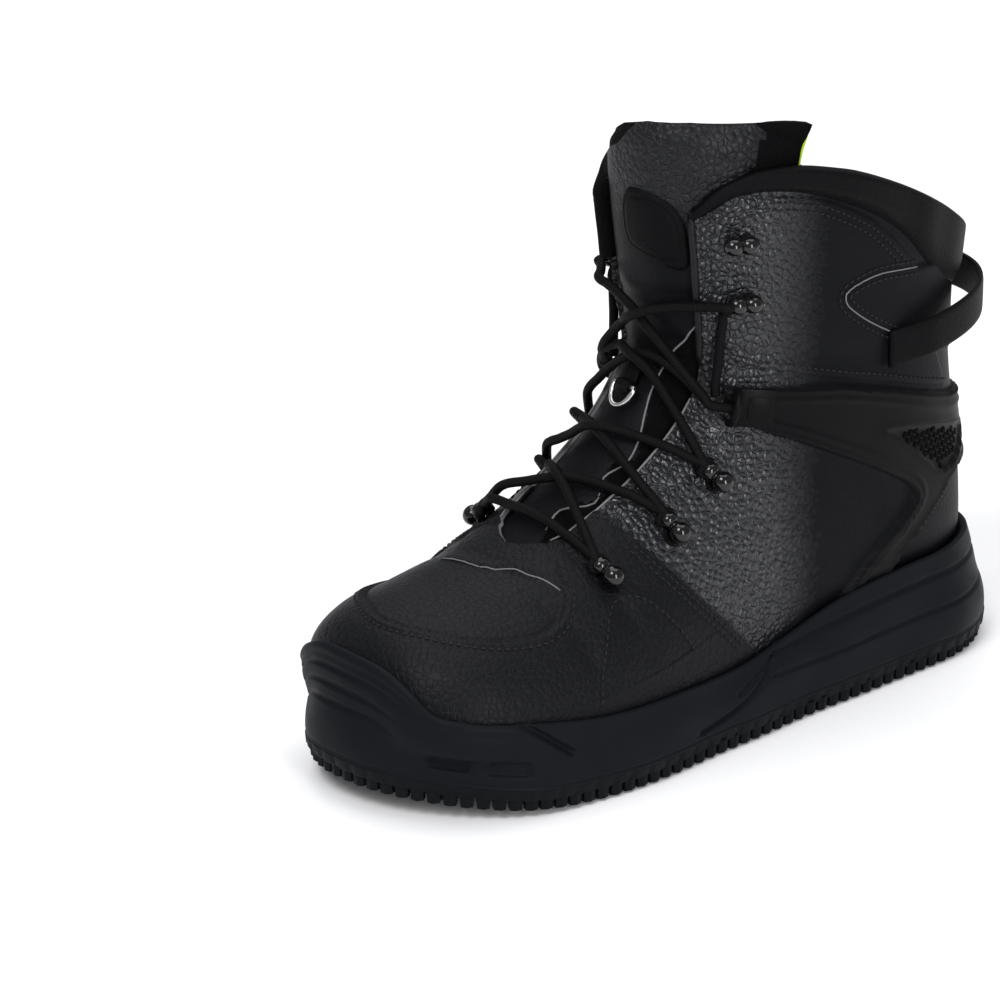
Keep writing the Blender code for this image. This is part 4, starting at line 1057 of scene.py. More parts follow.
class BOOT_OT_tongue(bpy.types.Operator):
    """Builds the padded tongue with its leather face, textile edges, lime piping and plain patch"""

    bl_idname = "boot.tongue"
    bl_label = "Tongue"

    def execute(self, context):
        finish = materials()
        c = np.linspace(-1, 1, 90)
        table = np.array(TONGUE)

        def at(index):
            half = np.interp(rows_at(LAST, index)[..., 1], table[:, 0], table[:, 1])
            return last_points(index, angle_beside_ridge(index, c * half))

        def below(index):
            points = at(index)
            limit = np.interp(points[:, 1], *np.array(TONGUE_TOP).T) + 0.8 - 3.0 * np.abs(c) ** 24
            return points[:, 2] < limit

        low = np.full(c.shape, float(index_at_height(83.0)))
        top = bisect(np.full(c.shape, 12.0), np.full(c.shape, 19.0), below)
        share = np.linspace(0, 1, 150)[:, None]
        index = low + (top - low) * share
        points = at(index)
        normals = grid_normals(points)
        flank = np.abs(c)[None, :]
        cap = step(share, 0.93, 1.0)
        front = -TONGUE_FACE["front"] - 2.6 * flank ** 8 - 2.2 * cap ** 3
        back = -TONGUE_FACE["back"] + 3.2 * flank ** 8 + 3.2 * cap ** 3
        height = points[..., 2]
        top_gap = (index[-1] - index) * 8.0
        trim = 7.0 * step(0.05 - c, 0.0, 0.25)[None, :]
        station = rows_at(LAST, index)[..., 1]
        right = curve_at(TONGUE_LEATHER, station)
        inset = np.minimum((right - c[None, :]) * 42.0, np.where(trim > 0.1, top_gap - trim, 20.0))
        inset = np.minimum(inset, (c[None, :] + 0.68) * 42.0)
        front = front + TONGUE_FACE["leather"] * step(inset, -0.4, 0.6)
        for z, depth in TONGUE_CREASES:
            away = (height - z - 4 * np.sin(c * 2.2)[None, :]) / 3.0
            front = front - depth * np.exp(-away ** 2) * (1 - flank ** 4)
        outer = points + normals * front[..., None]
        inner = points + normals * back[..., None]
        seam = (outer + inner) / 2
        seam = np.concatenate((seam, seam[:, ::-1]), axis=1)
        loop = np.concatenate((outer, inner[:, ::-1]), axis=1)
        loop = np.concatenate((seam[:1], loop, seam[-1:]))
        leather = np.concatenate((inset[:1], inset[:-1], np.full((1, len(c)), -1.0))) > 0
        # Painted sheen: the tongue's upper front gets a higher pebble mask, which pebbles it and paints its
        # base colour lighter
        lit_pebbled_front = step(c + 0.5, 0.0, 0.5)[None, :] * step(height, 196.0, 214.0)
        pebble = np.clip(lit_pebbled_front * 0.36 + SMOOTHED["least"], 0.0, 1.0)
        pebble = np.concatenate((pebble, pebble[:, ::-1]), axis=1)
        pebble = np.concatenate((pebble[:1], pebble, pebble[-1:]))
        faced = np.concatenate((leather, np.zeros_like(leather)), axis=1)
        slot = np.where(faced, gloss_slot(pebble[:-1]), len(GLOSS))
        slots = leather_slots(finish) + (finish["textile"],)
        mesh = grid_mesh("tongue_body", place(loop), slots, closed=True, index=slot,
                         attributes={"pebble": pebble})
        obj = add_piece("tongue_body", mesh, "leather", "tongue")
        Shape.tongue = tree_from_grid(place(outer))
        fall = outer[-30:-2, -1] * 0.3 + inner[-30:-2, -1] * 0.7
        path = place(fall + np.array((-0.3, 0.3, 0.0)))
        piping = tube_mesh("tongue_piping", [path], 0.45 * MM, finish["lime_piping"], 8)
        add_piece("tongue_piping", piping, "leather")
        rim = []
        for i in range(6, 96):
            k = int(np.argmin(np.abs(inset[i, 30:-4]))) + 30
            rim.append(outer[i, k] + normals[i, k] * 0.1)
        rim = smooth_points(np.array(rim)[::4], 4)
        # Painted highlight: the tongue's leather edge is pale, as light catching it
        edge = tube_mesh("tongue_edge", [place(rim)], 0.42 * MM, finish["lit_cut_edge"], 8)
        add_piece("tongue_edge", edge, "leather")
        self.patch(finish)
        return {"FINISHED"}

    def patch(self, finish):
        """A plain padded patch with a groove inside its border."""
        low, high = (np.array(corner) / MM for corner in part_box("tongue_badge"))
        middle = (low + high)[1] / 2
        rings = []
        for r in np.linspace(0, 1, 26):
            ring = []
            for k in range(72):
                a = 2 * math.pi * k / 72
                c, s, power = math.cos(a), math.sin(a), PATCH["power"]
                shape = PATCH["half"] / (abs(c) ** power + abs(s) ** power) ** (1 / power)
                hit, normal = beside_instep(Shape.tongue, PATCH["height"] + r * shape * s,
                                            middle + r * shape * c)
                groove = 0.6 * math.exp(-((r - PATCH["groove"]) / 0.05) ** 2)
                lift = PATCH["rise"] * (1 - r ** 10) + 0.25 - groove
                ring.append(tuple(hit + normal * lift * MM))
            rings.append(ring)
        mesh = grid_mesh("tongue_patch", np.array(rings), (finish["band_leather"],), closed=True)
        add_piece("tongue_patch", mesh, "fabric", "tongue_badge")


# Sole unit

def bumper_relief(x, y, z, rim):
    """Ribs, windows, notch and grooves moulded into the midsole's side, in millimetres out."""
    relief = np.zeros(x.shape)
    toe = step(x, 268.0, 286.0) * step(26.0 - y, 0.0, 26.0)
    for drop in (8.0, 14.5, 21.0):
        relief -= 1.1 * ridge(z - (rim - drop), 1.5) * toe
    relief += 0.7 * ridge(z - (rim - 1.8), 2.4) * step(x, 262.0, 280.0)
    lateral = y > 0
    for ax, bx, low, high in ((291.0, 303.0, 15.0, 21.0), (272.0, 286.0, 14.5, 20.5)):
        inside = np.minimum(np.minimum(x - ax, bx - x), np.minimum(z - low, high - z))
        relief -= 1.6 * step(inside, -0.3, 0.7) * lateral
    slit = line_distance(x, z, ((274.0, 35.0), (268.0, 31.5), (255.0, 22.5)))
    relief -= 2.2 * ridge(slit, 1.9) * lateral
    for line, depth, width in (
        (((190.0, 13.0), (170.0, 16.5), (154.0, 24.0), (146.0, 30.5)), 1.5, 1.6),
        (((168.0, 22.0), (154.0, 27.5), (146.0, 31.5)), 0.9, 1.2),
        (((146.0, 31.0), (126.0, 33.0), (96.0, 36.0), (60.0, 37.0), (20.0, 36.0), (-10.0, 36.0)), 1.0, 1.4),
        (((150.0, 24.0), (120.0, 23.0), (80.0, 24.0), (30.0, 24.0), (-10.0, 24.0)), 0.8, 1.3),
    ):
        relief -= depth * ridge(line_distance(x, z, smooth_points(line)), width)
    relief -= 0.35 * ridge(z - 10.4, 0.8)
    return relief


class BOOT_OT_midsole(bpy.types.Operator):
    """Builds the midsole with its toe bumper, rim and moulded side, and the insole"""

    bl_idname = "boot.midsole"
    bl_label = "Midsole and insole"

    def execute(self, context):
        finish = materials()
        outline, inward = sole_outline(560)
        rim = curve_at(RIM_LINE, outline[:, 0])
        share = np.linspace(0, 1, 64)
        z = FLOOR_TOP + share[:, None] * (rim - FLOOR_TOP)[None, :]
        reach = np.zeros(z.shape)
        tree = tree_from_grid(last_grid(), closed=True)
        outside = 14.0
        for j in range(len(outline)):
            direction = Vector((inward[j, 0], inward[j, 1], 0.0))
            for i in range(len(share)):
                start = Vector((outline[j, 0], outline[j, 1], z[i, j])) - direction * outside
                hit = tree.ray_cast(start, direction)
                reach[i, j] = hit[3] - outside if hit[0] is not None else np.nan
        for i in range(len(share)):
            row = reach[i]
            bad = np.isnan(row)
            if bad.all():
                row[:] = 60.0
            elif bad.any():
                good = np.flatnonzero(~bad)
                row[bad] = np.interp(np.flatnonzero(bad), good, row[good], period=len(row))
        slope = curve_at(WALL_SLOPE, outline[:, 0])[None, :]
        foot = np.interp(z, (9.0, 11.6, 17.5, 22.0, 27.5, 50.0), (0.25, 0.1, 0.3, 0.8, 1.8, 5.0)) * slope
        hug = reach - RIM_WALL
        straight = np.maximum(hug[-1], 0.5)[None, :] * share[:, None] ** 1.4
        mix = step(share, 0.35, 0.95)[:, None]
        inset = np.minimum(foot, straight + 1.0) * (1 - mix) + np.minimum(hug, straight) * mix
        inset = np.minimum(inset, hug)
        for clear in (3.4, 2.8, 2.4):
            for _ in range(6):
                inset = (np.roll(inset, 1, axis=1) + 2 * inset + np.roll(inset, -1, axis=1)) / 4
                inset[1:-1] = (inset[:-2] + 2 * inset[1:-1] + inset[2:]) / 4
            inset = np.minimum(inset, reach - clear)
        base = outline[None, :, :] + inward[None, :, :] * inset[..., None]
        x, y = base[..., 0], base[..., 1]
        relief = bumper_relief(x, y, z, rim[None, :])
        level = np.concatenate((inward, np.zeros((len(inward), 1))), axis=1)[None]
        wall = np.stack((x, y, z), axis=-1) - level * relief[..., None]
        lip = []
        for into, drop in ((0.8, -0.35), (2.0, -0.2), (3.2, 0.9), (RIM_WALL + 1.4, 4.0)):
            row = wall[-1].copy()
            row[:, :2] += inward * into
            row[:, 2] -= drop
            lip.append(row)
        under = wall[0].copy()
        under[:, :2] += inward * 14.0
        grid = np.concatenate((under[None], wall, np.array(lip)))
        mesh = grid_mesh("midsole_body", place(grid), (finish["midsole_foam"],), closed=True)
        add_piece("midsole_body", mesh, "foam", "midsole")
        self.insole(finish)
        return {"FINISHED"}

    def insole(self, finish):
        outline, inward = sole_outline(160)
        rings = []
        for into, height in ((13.0, 17.6), (13.0, 21.0), (15.0, 21.4), (30.0, 20.6), (45.0, 20.4),
                             (58.0, 20.4)):
            ring = outline + inward * min(into, 30.0)
            shrink = max(0.0, into - 30.0) / 28.0
            centre = np.stack((np.clip(ring[:, 0], 40, 270), np.full(len(ring), -1.0)), axis=1)
            ring = ring * (1 - shrink) + centre * shrink
            rings.append(np.concatenate((ring, np.full((len(ring), 1), height)), axis=1))
        mesh = grid_mesh("insole_sheet", place(np.array(rings)), (finish["textile"],), closed=True)
        add_piece("insole_sheet", mesh, "fabric", "insole")


def inside_sole(x, y, inset):
    """Whether a point of the plan lies inside the sole's outline by an inset."""
    widths = sole_half_widths(np.array([x]))[0]
    if not inset < x < LENGTH - inset:
        return False
    side = widths[1] if y > widths[0] else widths[2]
    return abs(y - widths[0]) < side * float(end_cap(np.array(x))) - inset


def lug_places(shift_x=0.0, shift_y=0.0, edge=LUGS["edge"]):
    """Centres of the lugs that fit on the sole, in staggered rows."""
    columns = int(LENGTH / LUGS["pitch_x"])
    rows = int(120.0 / LUGS["pitch_y"]) + 2
    start = (LENGTH - (columns - 1) * LUGS["pitch_x"]) / 2
    for column in range(-1, columns + 1):
        x = start + column * LUGS["pitch_x"] + shift_x
        for row in range(-rows // 2 - 1, rows // 2 + 2):
            y = (row + 0.5 * (column % 2)) * LUGS["pitch_y"] + shift_y
            corners = [(x + sx * LUGS["length"] / 2, y + sy * LUGS["width"] / 2)
                       for sx in (-1, 1) for sy in (-1, 1)]
            if all(inside_sole(cx, cy, edge - LUGS["width"] / 2) for cx, cy in corners):
                yield x, y


def block_mesh(name, outline, height, tilt, material):
    """A faceted tread block that stands down from z = 0, with a sloped ground face."""
    bm = bmesh.new()
    centre = sum(p[0] for p in outline) / len(outline), sum(p[1] for p in outline) / len(outline)
    roof = [bm.verts.new((x * MM, y * MM, 0.4 * MM)) for x, y in outline]
    foot = []
    for x, y in outline:
        fx, fy = centre[0] + (x - centre[0]) * 0.84, centre[1] + (y - centre[1]) * 0.84
        foot.append(bm.verts.new((fx * MM, fy * MM, -(height - tilt * max(0.0, -x)) * MM)))
    peak = bm.verts.new(((centre[0] + 1.8) * MM, centre[1] * MM, -height * MM))
    count = len(outline)
    bm.faces.new(roof)
    for i in range(count):
        j = (i + 1) % count
        bm.faces.new((roof[i], roof[j], foot[j], foot[i]))
        bm.faces.new((foot[i], foot[j], peak))
    bmesh.ops.recalc_face_normals(bm, faces=bm.faces)
    return mesh_from(name, bm, material)


def scatter_group(name, material):
    """Geometry nodes: a block on every point, turned by the point's own spin, realised with a material."""
    group = bpy.data.node_groups.new(name, "GeometryNodeTree")
    group.interface.new_socket(name="Points", in_out="INPUT", socket_type="NodeSocketGeometry")
    group.interface.new_socket(name="Block", in_out="INPUT", socket_type="NodeSocketObject")
    group.interface.new_socket(name="Size", in_out="INPUT", socket_type="NodeSocketFloat").default_value = 1.0
    group.interface.new_socket(name="Geometry", in_out="OUTPUT", socket_type="NodeSocketGeometry")
    inputs, outputs = add_node(group, "NodeGroupInput"), add_node(group, "NodeGroupOutput")
    info = add_node(group, "GeometryNodeObjectInfo")
    spin = add_node(group, "GeometryNodeInputNamedAttribute", {"Name": "turn"}, data_type="FLOAT_VECTOR")
    instance = add_node(group, "GeometryNodeInstanceOnPoints")
    realize = add_node(group, "GeometryNodeRealizeInstances")
    paint = add_node(group, "GeometryNodeSetMaterial", {"Material": material})
    join(
        group,
        (inputs, "Block", info, "Object"), (inputs, "Points", instance, "Points"),
        (info, "Geometry", instance, "Instance"), (spin, "Attribute", instance, "Rotation"),
        (inputs, "Size", instance, "Scale"), (instance, "Instances", realize, "Geometry"),
        (realize, "Geometry", paint, "Geometry"), (paint, "Geometry", outputs, "Geometry"),
    )
    return group


def scatter(name, points, turns, block, material, size=1.0):
    """Runs the scatter group on points with their own turns and returns a plain mesh."""
    mesh = bpy.data.meshes.new(name + "_points")
    mesh.from_pydata([tuple(p) for p in points], [], [])
    layer = mesh.attributes.new("turn", "FLOAT_VECTOR", "POINT")
    layer.data.foreach_set("vector", np.ravel(np.array(turns, dtype=np.float32)))
    holder = bpy.data.objects.new(name + "_points", mesh)
    tool = bpy.data.objects.new(name + "_block", block)
    for obj in (holder, tool):
        bpy.context.scene.collection.objects.link(obj)
    group = scatter_group(name, material)
    modifier = holder.modifiers.new("Scatter", "NODES")
    modifier.node_group = group
    for item in group.interface.items_tree:
        if item.in_out == "INPUT" and item.name == "Block":
            modifier[item.identifier] = tool
        if item.in_out == "INPUT" and item.name == "Size":
            modifier[item.identifier] = size
    bpy.context.view_layer.update()
    graph = bpy.context.evaluated_depsgraph_get()
    result = bpy.data.meshes.new_from_object(holder.evaluated_get(graph))
    for obj in (holder, tool):
        bpy.data.objects.remove(obj)
    return result


class BOOT_OT_outsole(bpy.types.Operator):
    """Builds the outsole plate and its tread of interlocking faceted blocks"""

    bl_idname = "boot.outsole"
    bl_label = "Outsole"

    def execute(self, context):
        finish = materials()
        count = 720
        outline, inward = sole_outline(count)
        tooth = 0.55 * (np.sin(np.arange(count) * 2 * np.pi / 8) > 0.1)
        rings = []
        for z, inset, serrate in ((5.0, 30.0, 0), (4.6, 2.2, 0), (4.6, 1.2, 1), (5.4, 0.5, 1),
                                  (8.9, 0.2, 0.2), (9.3, 0.6, 0), (9.3, 14.0, 0)):
            ring = outline + inward * (inset + serrate * tooth)[:, None]
            rings.append(np.concatenate((ring, np.full((count, 1), z)), axis=1))
        widths = sole_half_widths(outline[:, 0])
        along = np.clip(outline[:, 0], 20, LENGTH - 24)
        middle = np.stack((along, widths[:, 0], np.full(count, 5.0)), axis=1)
        rings.insert(0, middle)
        mesh = grid_mesh("outsole_plate", place(np.array(rings)), (finish["sole_rubber"],), closed=True)
        mesh.set_sharp_from_angle(angle=math.radians(40))
        add_piece("outsole_plate", mesh, "rubber", "outsole")
        self.tread(finish)
        return {"FINISHED"}

    def tread(self, finish):
        rubber = finish["sole_rubber"]
        half_x, half_y = LUGS["length"] / 2 + 0.8, LUGS["width"] / 2 + 0.8
        main = ((-half_x, -half_y * 0.55), (-half_x, half_y * 0.55), (half_x * 0.15, half_y),
                (half_x, half_y * 0.35), (half_x, -half_y * 0.35), (half_x * 0.15, -half_y))
        small = ((-3.6, -2.6), (-3.6, 2.6), (1.0, 3.2), (3.4, 0.0), (1.0, -3.2))
        edge = ((-2.4, -2.9), (-2.4, 2.9), (1.2, 2.7), (2.2, 0.0), (1.2, -2.7))
        depth = LUGS["depth"]
        outline, inward = sole_outline(118)
        turns = [(0.0, 0.0, math.atan2(-n[1], -n[0])) for n in inward]
        between = lug_places(LUGS["pitch_x"] / 2, LUGS["pitch_y"] / 4, 4.4)
        groups = (
            ("tread_main", [(x, y, depth + 0.2) for x, y in lug_places()], None,
             block_mesh("main", main, depth + 0.2, 0.16, rubber)),
            ("tread_small", [(x, y, depth + 0.2) for x, y in between], None,
             block_mesh("small", small, 3.6, 0.22, rubber)),
            ("tread_edge", [(x, y, depth + 0.3) for x, y in outline + inward * 2.6], turns,
             block_mesh("edge", edge, depth - 0.2, 0.0, rubber)),
        )
        for name, places, turns, block in groups:
            points = np.array(places)
            run = np.clip(points[:, 0] - SPRING_START, 0, None) / (LENGTH - SPRING_START)
            lean = np.arctan(2 * SPRING * run / (LENGTH - SPRING_START))
            spin = np.zeros((len(points), 3)) if turns is None else np.array(turns)
            if turns is None:
                spin[:, 1] = -lean
            mesh = scatter(name, place(points), spin, block, rubber)
            add_piece(name, mesh, "rubber")


# Hooks, ring and laces

def lower_hooks(side):
    """Rivet, inward direction and normal of each lower hook on a side."""
    for station, lateral, medial in LOWER_HOOKS:
        rivet, normal = beside_instep(Shape.last, station, lateral if side > 0 else -medial)
        inward = Vector((0.0, -side, 0.0))
        inward = (inward - normal * inward.dot(normal)).normalized()
        yield rivet, inward, normal


class BOOT_OT_hardware(bpy.types.Operator):
    """Builds the lace hooks, the lace loops and the wire ring in its tab"""

    bl_idname = "boot.hardware"
    bl_label = "Hooks and ring"

    def execute(self, context):
        finish = materials()
        segments = context.scene.boot_sizes.hook_segments
        black = finish["black_hardware"]
        for side, word in ((1, "lateral"), (-1, "medial")):
            for number, (rivet, inward, normal) in enumerate(lower_hooks(side), 1):
                saddle = rivet + inward * HOOK_REACH * MM
                turn = Matrix((inward, normal.cross(inward), normal)).transposed()
                bm = bmesh.new()
                size = {key: value * MM for key, value in HOOK.items()}
                add_rod(bm, rivet + normal * 0.6 * MM, rivet + normal * 2.2 * MM, size["base"], segments,
                        size["base_top"])
                add_rod(bm, rivet + normal * 1.0 * MM, rivet + normal * 5.0 * MM, size["post"], segments)
                add_ball(bm, rivet + normal * 6.2 * MM, size["knob"], (1, 1, 0.96), turn, segments)
                add_ball(bm, saddle + normal * 5.0 * MM, size["saddle"], (0.95, 1.15, 0.85), turn, segments)
                add_rod(bm, rivet + normal * 5.0 * MM, saddle + normal * 4.4 * MM, size["bridge"], segments)
                add_rod(bm, saddle + normal * 0.4 * MM, saddle + normal * 4.0 * MM, size["toe"], segments,
                        size["toe_top"])
                name = f"hook_{word}_{number}"
                add_piece(name, solid_mesh(name, bm, black, 50), "black_metal", f"lace_hook_{word}_{number}")
            for number, (x, z) in enumerate(UPPER_HOOKS, 1):
                point, normal = side_point(Shape.last, x, z, side)
                run = Vector((0, 0, 1)).cross(normal).normalized()
                turn = Matrix((run, normal.cross(run), normal)).transposed()
                bm = bmesh.new()
                size = QUICK_HOOK
                ends = [point + (normal * size["lift"] + run * along) * MM
                        for along in (size["apart"], -size["apart"])]
                for end in ends:
                    add_ball(bm, end, size["knob"] * MM, (1.0, 0.9, 0.95), turn, segments)
                add_rod(bm, *ends, size["bridge"] * MM, segments)
                foot = point + run * (-2.6 if run.x > 0 else 2.6) * MM
                add_rod(bm, foot + normal * 0.5 * MM, foot + normal * 4.6 * MM, size["foot"] * MM, segments,
                        size["bridge"] * MM)
                name = f"quick_hook_{word}_{number}"
                add_piece(name, solid_mesh(name, bm, black, 50), "black_metal", f"speed_hook_{word}_{number}")
            self.lace_loop(finish, side, word)
        self.ring(finish)
        return {"FINISHED"}

    def lace_loop(self, finish, side, word):
        """A moulded loop at the frame's front end, with its strap behind it."""
        point, normal = side_point(Shape.last, *LACE_LOOP, side)
        upright = Vector((-0.35, 0.0, 1.0))
        upright = (upright - normal * upright.dot(normal)).normalized()
        path = []
        for i in range(25):
            angle = math.pi * i / 24
            out = 3.0 + 6.5 * math.sin(angle)
            path.append(point + (upright * 6.5 * math.cos(angle) + normal * out) * MM)
        path = [path[0] - normal * 1.2 * MM] + path + [path[-1] - normal * 1.2 * MM]
        mesh = tube_mesh(f"loop_{word}", [path], 1.5 * MM, finish["moulded_frame"], 14)
        bm = bmesh.new()
        bm.from_mesh(mesh)
        back = Vector((-1.0, 0.0, -0.12))
        back = (back - normal * back.dot(normal)).normalized()
        for along, lift, size in ((9.5, 2.9, (17.0, 15.5, 1.8)), (12.0, 3.9, (9.0, 9.0, 1.0))):
            made = bmesh.ops.create_cube(bm, size=1.0)
            scale = Matrix.Diagonal((size[0] * MM, size[1] * MM, size[2] * MM, 1.0))
            centre = point + (back * along + normal * lift) * MM
            hit = side_point(Shape.last, centre.x / MM - HEEL_X, centre.z / MM, side)
            centre = hit[0] + hit[1] * lift * MM
            local = Matrix((back, hit[1].cross(back), hit[1])).transposed().to_4x4()
            bmesh.ops.transform(bm, matrix=Matrix.Translation(centre) @ local @ scale, verts=made["verts"])
            edges = list({e for v in made["verts"] for e in v.link_edges})
            edges.sort(key=lambda e: e.index)
            bmesh.ops.bevel(bm, geom=edges, offset=0.5 * MM, segments=2, affect="EDGES", profile=0.5)
        mesh = solid_mesh(f"loop_{word}", bm, finish["moulded_frame"])
        add_piece(f"loop_{word}", mesh, "moulded", f"lace_loop_{word}")

    def ring(self, finish):
        low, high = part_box("ring")
        hinge = Vector(frame["joints"][0]["pos_m"])
        tip = Vector((high[0], hinge.y, low[2]))
        down = tip - hinge
        reach = down.length - RING_WIRE * MM
        down.normalize()
        half = (high[1] - low[1]) / 2 - RING_WIRE * MM
        path = []
        for i in range(61):
            angle = 2 * math.pi * i / 60
            s = math.sin(angle)
            path.append(hinge + Vector((0, half * math.cos(angle), 0)) + down * (reach * max(s, 0.0)))
        mesh = tube_mesh("wire_ring", [path], RING_WIRE * MM, finish["bright_metal"], 14)
        add_piece("wire_ring", mesh, "steel", "ring", body="ring")
        bm = bmesh.new()
        out = down.cross(Vector((0, 1, 0))).normalized()
        out = out if out.x > 0 else -out
        made = bmesh.ops.create_cube(bm, size=1.0)
        turn = Matrix((Vector((0, 1, 0)), down, out)).transposed().to_4x4()
        scale = Matrix.Diagonal((7.2 * MM, 9.0 * MM, 1.8 * MM, 1.0))
        middle = hinge - down * 6.0 * MM - out * 1.0 * MM
        bmesh.ops.transform(bm, matrix=Matrix.Translation(middle) @ turn @ scale, verts=made["verts"])
        bmesh.ops.bevel(bm, geom=list(bm.edges), offset=0.6 * MM, segments=3, affect="EDGES", profile=0.5)
        side = Vector((0, 3.4 * MM, 0))
        add_rod(bm, hinge - side, hinge + side, 2.3 * MM, 28)
        add_piece("ring_strap", solid_mesh("ring_strap", bm, finish["band_leather"]), "fabric", "ring_tab")


def lace_ends():
    """Where the strands leave each hook or loop of a side, and where they go in."""
    ends = {}
    for side in (1, -1):
        spots = []
        for rivet, inward, normal in lower_hooks(side):
            saddle = rivet + inward * HOOK_REACH * MM
            spots.append((saddle + inward * 3.4 * MM + normal * 4.6 * MM, saddle + normal * 3.4 * MM))
        point, normal = side_point(Shape.last, LACE_LOOP[0] + 7.0, LACE_LOOP[1] + 1.0, side)
        inner, inner_normal = side_point(Shape.last, LACE_LOOP[0], LACE_LOOP[1], side)
        spots.append((point + normal * 5.5 * MM, inner + inner_normal * 5.6 * MM))
        hook, normal = side_point(Shape.last, *UPPER_HOOKS[0], side)
        front = Vector((1.0, 0.0, 0.0))
        spots.append((hook + normal * 4.2 * MM + front * 8.0 * MM,
                      hook + normal * 1.9 * MM + front * 0.5 * MM))
        ends[side] = spots
    return ends


def lace_path(first, last, station, lift, steps=26):
    """A strand between two hooks over a height on the instep line, held clear of the last."""
    start, end = first[0], last[0]
    ridge_point, out = beside_instep(Shape.last, station, 0.0)
    bow = ridge_point + out * 2.4 * MM - (start + end) / 2
    points = []
    for i in range(steps + 1):
        t = i / steps
        point = start.lerp(end, t) + bow * math.sin(math.pi * t)
        over_edge = LACE_CLEAR["hooks"] * float(step(abs(t - 0.5), 0.27, 0.35))
        clear = (LACE_CLEAR["least"] + over_edge + lift * math.exp(-((t - 0.5) / 0.12) ** 2)) * MM
        for _ in range(3):
            nearest, normal, _, _ = Shape.last.find_nearest(point)
            if normal.dot(point - nearest) < 0 and (point - nearest).length < 0.02:
                normal = -normal if normal.dot(out) < 0 else normal
            point = point + normal * max(0.0, clear - (point - nearest).dot(normal))
        if point.y < 0:
            point = point + out * LACE_CLEAR["medial"] * math.exp(-((abs(t - 0.5) - 0.33) / 0.10) ** 2) * MM
        points.append(point)
    return [first[1]] + points + [last[1]]


class BOOT_OT_lace(bpy.types.Operator):
    """Runs the lace through the hooks and loops, with its ends tucked in at the top hooks"""

    bl_idname = "boot.lace"
    bl_label = "Lace"

    def execute(self, context):
        finish = materials()
        ends = lace_ends()
        paths = [lace_path(ends[-1][0], ends[1][0], BAR_STATION, 0.0)]
        for number, station in enumerate(CROSSINGS):
            for side in (1, -1):
                over = LACE_CLEAR["crossing"] if (side > 0) == (number % 2 == 0) else 0.0
                paths.append(lace_path(ends[side][number], ends[-side][number + 1], station, over))
        for side in (1, -1):
            for (turn, _), (rivet, inward, normal) in zip(ends[side], lower_hooks(side)):
                across = normal.cross(inward)
                spot = rivet + inward * (HOOK_REACH - 0.4) * MM + normal * 2.4 * MM
                paths.append([turn, spot + across * 3.0 * MM + inward * 2.0 * MM, spot,
                              spot - across * 3.0 * MM + inward * 2.0 * MM, turn])
            x, z = UPPER_HOOKS[0]
            tail = [ends[side][-1][1]]
            for k in range(1, 12):
                hit, out = side_point(Shape.last, x + 6.0 + 0.1 * k, z - 1.0 - 3.4 * k, side)
                tail.append(hit + out * 2.8 * MM)
            paths.append(tail)
        radius = context.scene.boot_sizes.lace_radius * MM
        paths = [smooth_points([tuple(p) for p in path], 4) for path in paths]
        mesh = tube_mesh("lace_cord", paths, radius, finish["lace_weave"], 12)
        add_piece("lace_cord", mesh, "lace", "lace")
        return {"FINISHED"}


# Stitching

def top_point(x, y, lift):
    """A point on the upper seen from above, raised a little, or None beside it."""
    hit, normal = cast(Shape.upper, place(np.array((x, y, ABOVE_TOE))), (0, 0, -1))
    return None if hit is None else hit + normal * lift * MM


def side_seam(line, side, lift=THREAD_LIFT):
    """A line of the side view laid on the upper."""
    points = []
    for x, z in line:
        hit, normal = side_point(Shape.upper, x, z, side)
        if hit is not None:
            points.append(hit + normal * lift * MM)
    return points


def offset_line(line, distance):
    """A line moved sideways in its own plane."""
    table = np.array(line, dtype=float)
    run = np.gradient(table, axis=0)
    normal = np.stack((-run[:, 1], run[:, 0]), axis=1)
    normal /= np.linalg.norm(normal, axis=1, keepdims=True)
    return table + normal * distance


def even_points(points, pitch):
    """Points every pitch along a path, with the path's direction at each."""
    table = np.array([tuple(p) for p in points])
    gaps = np.linalg.norm(np.diff(table, axis=0), axis=1)
    length = np.concatenate(([0], np.cumsum(gaps)))
    at = np.arange(pitch / 2, length[-1], pitch)
    spots, ahead, behind = (
        np.stack([np.interp(at + pitch * shift, length, table[:, k]) for k in range(3)], axis=1)
        for shift in (0.0, 0.3, -0.3))
    return spots, ahead - behind


